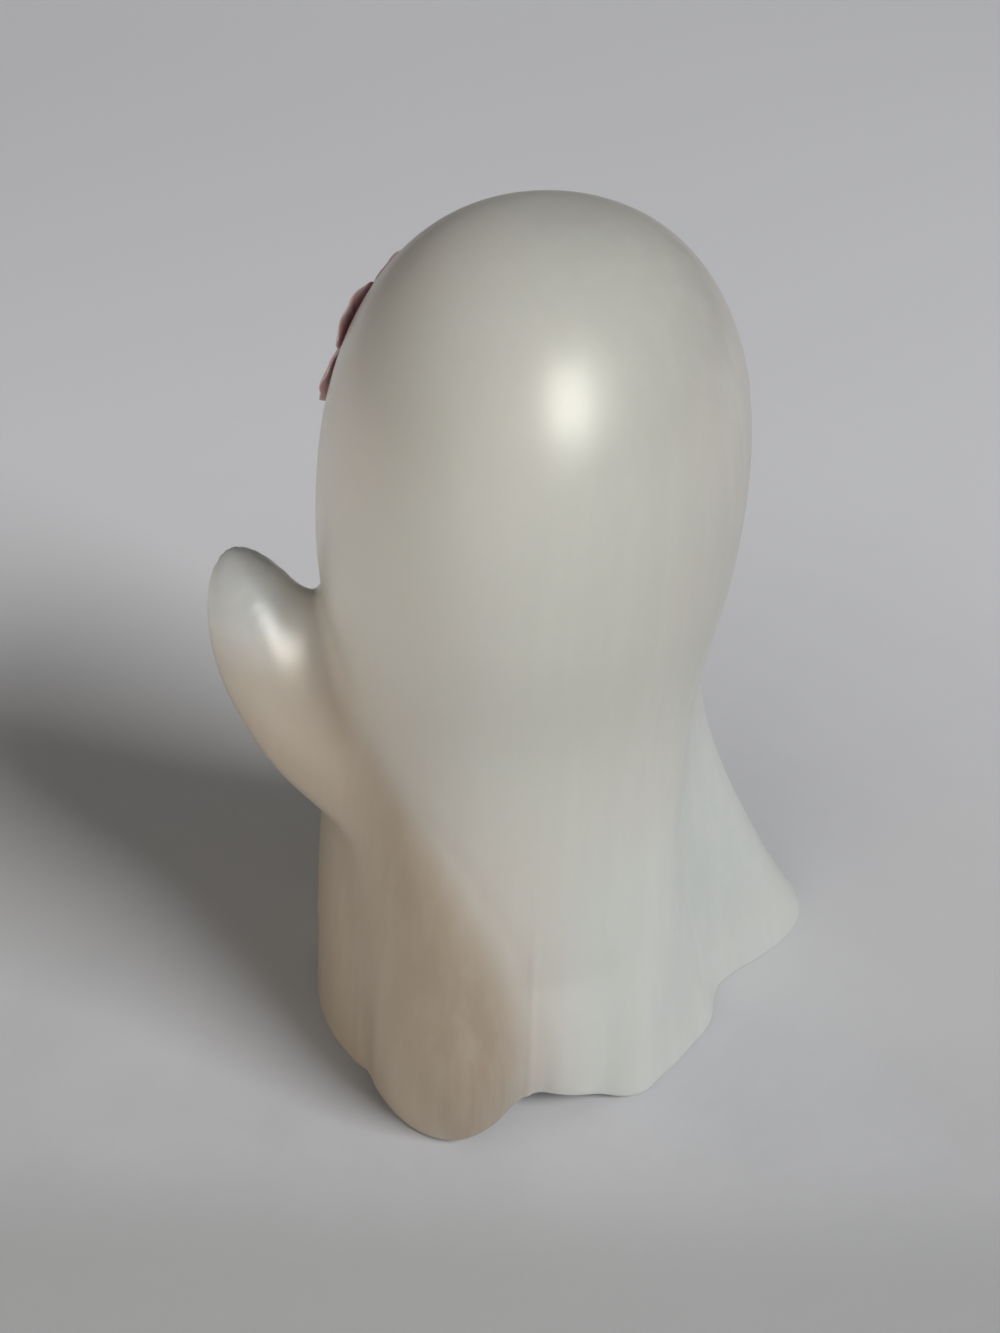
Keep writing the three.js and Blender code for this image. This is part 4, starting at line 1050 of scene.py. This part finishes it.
def makeFlower():
    petals = copiesOf("petals", ringTree(), Shape=petalShape(), Count=flower["petals"], Radius=0.0,
                      Finish=finishes["petal_rose"])
    turn = math.radians(flower["turn"])
    spin = np.array([(math.cos(turn), math.sin(turn), 0), (-math.sin(turn), math.cos(turn), 0), (0, 0, 1)])
    movePoints(petals, lambda flat: overHead(flat @ spin))
    barb, stem, inside = flower["barbRadius"], flower["pegRadius"], sheet["wall"] + flower["gap"]
    tip, top = -inside - flower["pegBeyond"], 0.9
    peg = skinned("peg", lathed([
        (0, tip), (stem * 0.45, tip), (stem * 0.62, tip + 0.12), (barb - 0.1, -inside - 0.5),
        (barb, -inside - 0.38), (barb, -inside - 0.06), (barb - 0.08, -inside), (stem, -inside),
        (stem, top), (0, top)], 32), onHead)
    rim, bore = flower["budRadius"] + 0.25, flower["studRadius"] + 0.3
    disc = skinned("disc", lathed([
        (0, 0.45), (rim, 0.45), (rim, 1.7), (rim - 0.12, 1.98), (rim - 0.4, 2.1), (rim - 0.8, 2.04),
        (bore, 2.0), (bore, top), (0, top)], 48), onHead)
    standFor(joinPieces("flowerPetals", [petals, peg, disc]), "flower_petals", 45)


# The rest of a turned profile: a quarter of an oval from its side to the axis
def domed(radius, rise, foot, start):
    turns = np.radians(np.linspace(start, 90, 14))[:-1]
    return [(radius * math.cos(turn), foot + rise * math.sin(turn)) for turn in turns] + [(0.0, foot + rise)]


def makeBud():
    seat, tall = flower["budSeat"], flower["budTall"]
    stud, bud, foot = flower["studRadius"], flower["budRadius"], flower["budSeat"] - flower["studLong"]
    profile = [(0, foot), (stud - 0.1, foot), (stud, foot + 0.1), (stud, seat), (bud - 0.3, seat)]
    wide, high = flower["domeShare"]
    profile += [(bud - 0.08, seat + 0.08)] + domed(bud * wide, tall * high, seat, 8)
    dome = skinned("dome", lathed(profile, 48), onHead)
    radius = flower["seedRadius"]
    ball = [(radius * math.cos(turn), radius * math.sin(turn)) for turn in (-0.9, -0.3, 0.3, 0.9)]
    seed = skinned("seed", lathed([(0, -radius), *ball, (0, radius)], 8), np.asarray)
    share = flower["seedShare"]
    seeds = copiesOf("seeds", spiralTree(), Shape=seed, Count=flower["seeds"], Radius=bud * share,
                     Tall=tall * share, Foot=seat - 0.1, Finish=finishes["bud_cream"])
    movePoints(seeds, onHead)
    standFor(joinPieces("flowerBud", [dome, seeds]), "flower_bud", 50)


makeFlower()
makeBud()
print("flower")


# The light unit's pieces: rounder copies of its solids, with softened edges

softened = {  # node and the width of its edge rounding in millimetres
    "base_plug": 0.3, "battery_door": 0.25, "door_screw_1": 0.1, "door_screw_2": 0.1, "switch_knob": 0.25,
    "circuit_board": 0.12, "circuit_screw_1": 0.1, "circuit_screw_2": 0.1, "resistor": 0.0,
    "led_anode": 0.06, "led_cathode": 0.06, "switch_body": 0.12,
    "switch_screw_1": 0.07, "switch_screw_2": 0.07,
    "contact_plate_positive": 0.1, "contact_plate_negative": 0.1,
}
rounded = ("contact_spring", "wire_red", "wire_black", "wire_white")  # tubes, made rounder
grip = {"count": 54, "wide": 0.7, "proud": 0.3, "tall": 1.6, "above": 1.3}


# A merged copy of a node, with its flat triangles joined into faces
def copyOf(node, flatten=0.4):
    mesh = bpy.data.meshes.new(camelName(node))
    touching = 3e-6  # points this many metres apart count as one

    def merge(fine):
        bmesh.ops.remove_doubles(fine, verts=fine.verts, dist=touching)
        if flatten:
            limit = math.radians(flatten)
            bmesh.ops.dissolve_limit(fine, angle_limit=limit, verts=fine.verts, edges=fine.edges)

    edited(frame["nodes"][node].data, merge, mesh)
    return linked(camelName(node), mesh)


def hasOpenEdges(piece):
    check = bmesh.new()
    check.from_mesh(piece.data)
    found = any(not edge.is_manifold for edge in check.edges)
    check.free()
    return found


def softenedCopy(node, width):
    piece = copyOf(node)
    if width:
        sharpest = math.radians(40)
        applied(piece, "BEVEL", limit_method="ANGLE", angle_limit=sharpest, width=width * mm, segments=2)
    if hasOpenEdges(piece):
        print("plain edges kept on", node)
        bpy.data.objects.remove(piece)
        piece = copyOf(node)
    return piece


def gripRibs():
    half, proud, tall, root = grip["wide"] / 2, grip["proud"], grip["tall"] / 2, -0.4
    outline = [(root, -half), (proud * 0.6, -half), (proud, -half * 0.5)]
    outline += [(x, -y) for x, y in outline[::-1]]
    ends = [(min(x, proud * 0.3), y * 0.8) for x, y in outline]
    rows = ((ends, -tall), (outline, -tall + 0.2), (outline, tall - 0.2), (ends, tall))
    rings = [np.array([(x, y, z) for x, y in row]) for row, z in rows]
    rib = skinned("rib", closedRings(rings, (-0.1, 0, -tall), (-0.1, 0, tall)), lambda points: points * mm)
    finish = finishes["white_plastic"]
    ribs = copiesOf("ribs", ringTree(), Shape=rib, Count=grip["count"], Radius=plugRadius, Finish=finish)
    ribs.data.transform(Matrix.Translation((bodyAxis.x, bodyAxis.y, plugLow.z + grip["above"] * mm)))
    return ribs


def joinTriangles(work, bend=0.6):  # the most radians by which a pair may be bent or askew
    bmesh.ops.join_triangles(work, faces=work.faces, angle_face_threshold=bend, angle_shape_threshold=bend)


def makeLightUnit():
    for node, width in softened.items():
        piece = softenedCopy(node, width)
        if node == "base_plug":
            piece = joinPieces("basePlug", [piece, gripRibs()])
        standFor(piece, node, 34, weighted=True)
    for node in rounded:
        piece = copyOf(node, 0)
        edited(piece.data, joinTriangles)
        standFor(applied(piece, "SUBSURF", levels=1, render_levels=1), node, 60)
    print("light unit")


# The button cells: a turned can with a crimped rim round the smaller cap

cell = {"lip": 0.35, "capInset": 0.95, "round": 0.3, "crimp": 0.12}


def makeCells():
    for node in ("button_cell_1", "button_cell_2", "button_cell_3"):
        low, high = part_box(node)
        middle = (low + high) / 2 / mm
        radius, long = (high.y - low.y) / 2 / mm, (high.x - low.x) / mm
        cap, lip, corner, sunk = radius - cell["capInset"], cell["lip"], cell["round"], long - cell["crimp"]
        profile = [
            (0, 0), (cap - 0.15, 0), (cap, 0.1), (cap + 0.02, lip), (cap + 0.1, lip + 0.03),
            (cap + 0.16, lip - 0.1), (radius - 0.2, lip + 0.02), (radius - 0.04, lip + 0.2),
            (radius, lip + 0.45), (radius, long - corner), (radius - 0.09, long - 0.09),
            (radius - corner, long), (radius - 1.0, long), (radius - 1.12, sunk),
            (radius - 2.4, sunk), (0, sunk)]

        def lying(points):
            x, y, z = points.T
            return np.stack([high.x / mm - z, y + middle.y, x + middle.z], -1) * mm

        standFor(skinned(camelName(node), lathed(profile, 72), lying), node, 34)


# The lamp's lens as a finer turned piece, and a copy of the frosted dome over it

def makeLamp():
    low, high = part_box("led_lens")
    foot, top = low.z / mm, high.z / mm
    rim = (high.x - low.x) / 2 / mm
    flange, edge, radius = foot + 1.0, 0.12, rim - 0.5
    profile = [(0, foot), (rim - edge, foot), (rim, foot + edge), (rim, flange - edge), (rim - edge, flange)]
    profile += [(radius, flange)] + domed(radius, radius, top - radius, 0)
    standFor(skinned("ledLens", lathed(profile, 48), placed), "led_lens", 40)
    standFor(copyOf("light_diffuser", 0), "light_diffuser", 40)


makeLightUnit()
makeCells()
makeLamp()
print("cells and lamp")


# Floor, light and view

floorLook = {
    "base": (0.50, 0.505, 0.525, 1), "dark": (0.45, 0.455, 0.47, 1), "warm": (0.51, 0.51, 0.51, 1),
    # Painted light for the far floor and painted shade for the floor near the camera
    "far": (0.68, 0.685, 0.71, 1), "close": (0.40, 0.405, 0.41, 1), "crumb": (0.2, 0.19, 0.19, 1),
    "roughness": 0.75,
    "clouded": (0.25, 0.5), "farFrom": (-0.08, 0.25), "closeFrom": (-0.055, -0.085),  # metres from the middle
}
lights = {  # turn and rise in degrees, distance and size in metres, watts, colour, highlight or not
    "windowKey": (124.0, 39.5, 4.0, 1.8, 1.3, 158.0, (1.0, 1.0, 1.0), False),
    "tallStrip": (79.6, 33.5, 0.9, 0.30, 0.45, 2.0, (1.0, 0.99, 0.95), True),
    "roomFill": (40.0, 14.0, 1.3, 1.0, 0.6, 5.4, (1.0, 0.94, 0.86), False),
    "ceiling": (20.0, 60.0, 2.0, 1.4, 1.4, 2.2, (0.97, 0.98, 1.0), False),
    "warmFill": (345.0, 7.0, 1.2, 0.9, 0.5, 1.5, (1.0, 0.80, 0.58), False),
    "frontFill": (255.0, 10.0, 1.4, 1.2, 0.4, 1.2, (1.0, 0.98, 0.95), False),
}
room = {"colour": (0.95, 0.97, 1.0, 1), "strength": 0.04, "wall": (0.66, 0.67, 0.69, 1), "floorHalf": 3.0}
aim = bodyAxis + Vector((0, 0, 0.09))  # what the lights point at


def floorLayers(tree, look):
    place = placeOf(tree)
    near = fade(vectorOf("LENGTH", place, output="Value"), *look["clouded"], 1.0, 0.25)
    clouds = noiseOf(place, 16.0, 5.0, 0.62)
    colour = mixOf(rangeOf(clouds, 0.35, 0.65), look["dark"], look["base"])
    colour = mixOf(rangeOf(noiseOf(place, 5.0, 2.0), 0.4, 0.65), colour, look["warm"])
    colour = mixOf(near, look["base"], colour)
    # Painted light and painted shade: the floor is lighter away from the camera and darker towards it
    away = vectorOf("DOT_PRODUCT", place, direction(photoView["turn"] + 180, 0), "Value")
    colour = mixOf(fade(away, *look["farFrom"]), colour, look["far"])
    colour = mixOf(fade(away, *look["closeFrom"]), colour, look["close"])
    crumbs = spotsOf(place, 22.0, noiseOf(place, 9.0), 0.55, 0.8, 0.05)
    colour = mixOf(times(crumbs, 0.5), colour, look["crumb"])
    wrinkles = times(noiseOf(place, 60.0, 6.0, 0.65), near)
    return colour, look["roughness"], bumpOf((wrinkles, 0.2, 0.001))


def addFloor():
    half = room["floorHalf"]
    corners = [(-half, -half, 0), (half, -half, 0), (half, half, 0), (-half, half, 0)]
    floor = meshObject("floor", corners, [(0, 1, 2, 3)])
    floor.data.materials.append(newMaterial("palePaper", floorLayers, floorLook, IOR=1.45))


def addLight(name, turn, rise, far, wide, tall, power, colour, shines):
    data = bpy.data.lights.new(name, "AREA")
    data.shape = "RECTANGLE"
    data.size = wide
    data.size_y = tall
    data.energy = power
    data.color = colour
    away = direction(turn, rise)
    light = linked(name, data)
    light.location = aim + away * far
    light.rotation_euler = away.to_track_quat("Z", "Y").to_euler()
    light.visible_glossy = shines  # either a highlight alone or a soft light with none of its own
    light.visible_diffuse = not shines


def addRoom():
    world = bpy.data.worlds.new("softRoom")
    world.use_nodes = True
    tree = world.node_tree
    back = tree.nodes["Background"]
    back.inputs["Color"].default_value = room["colour"]
    back.inputs["Strength"].default_value = room["strength"]
    wall = addNode(tree, "ShaderNodeBackground", {"Color": room["wall"], "Strength": 1.0}).outputs[0]
    seen = addNode(tree, "ShaderNodeLightPath").outputs["Is Camera Ray"]  # the wall shows behind the floor
    either = nodeOf("ShaderNodeMixShader", {0: seen, 1: back.outputs[0], 2: wall})
    tree.links.new(either, tree.nodes["World Output"].inputs["Surface"])
    scene.world = world


addFloor()
addRoom()
for name, look in lights.items():
    addLight(name, *look)
scene.view_settings.view_transform = "Standard"
print("floor and lights")
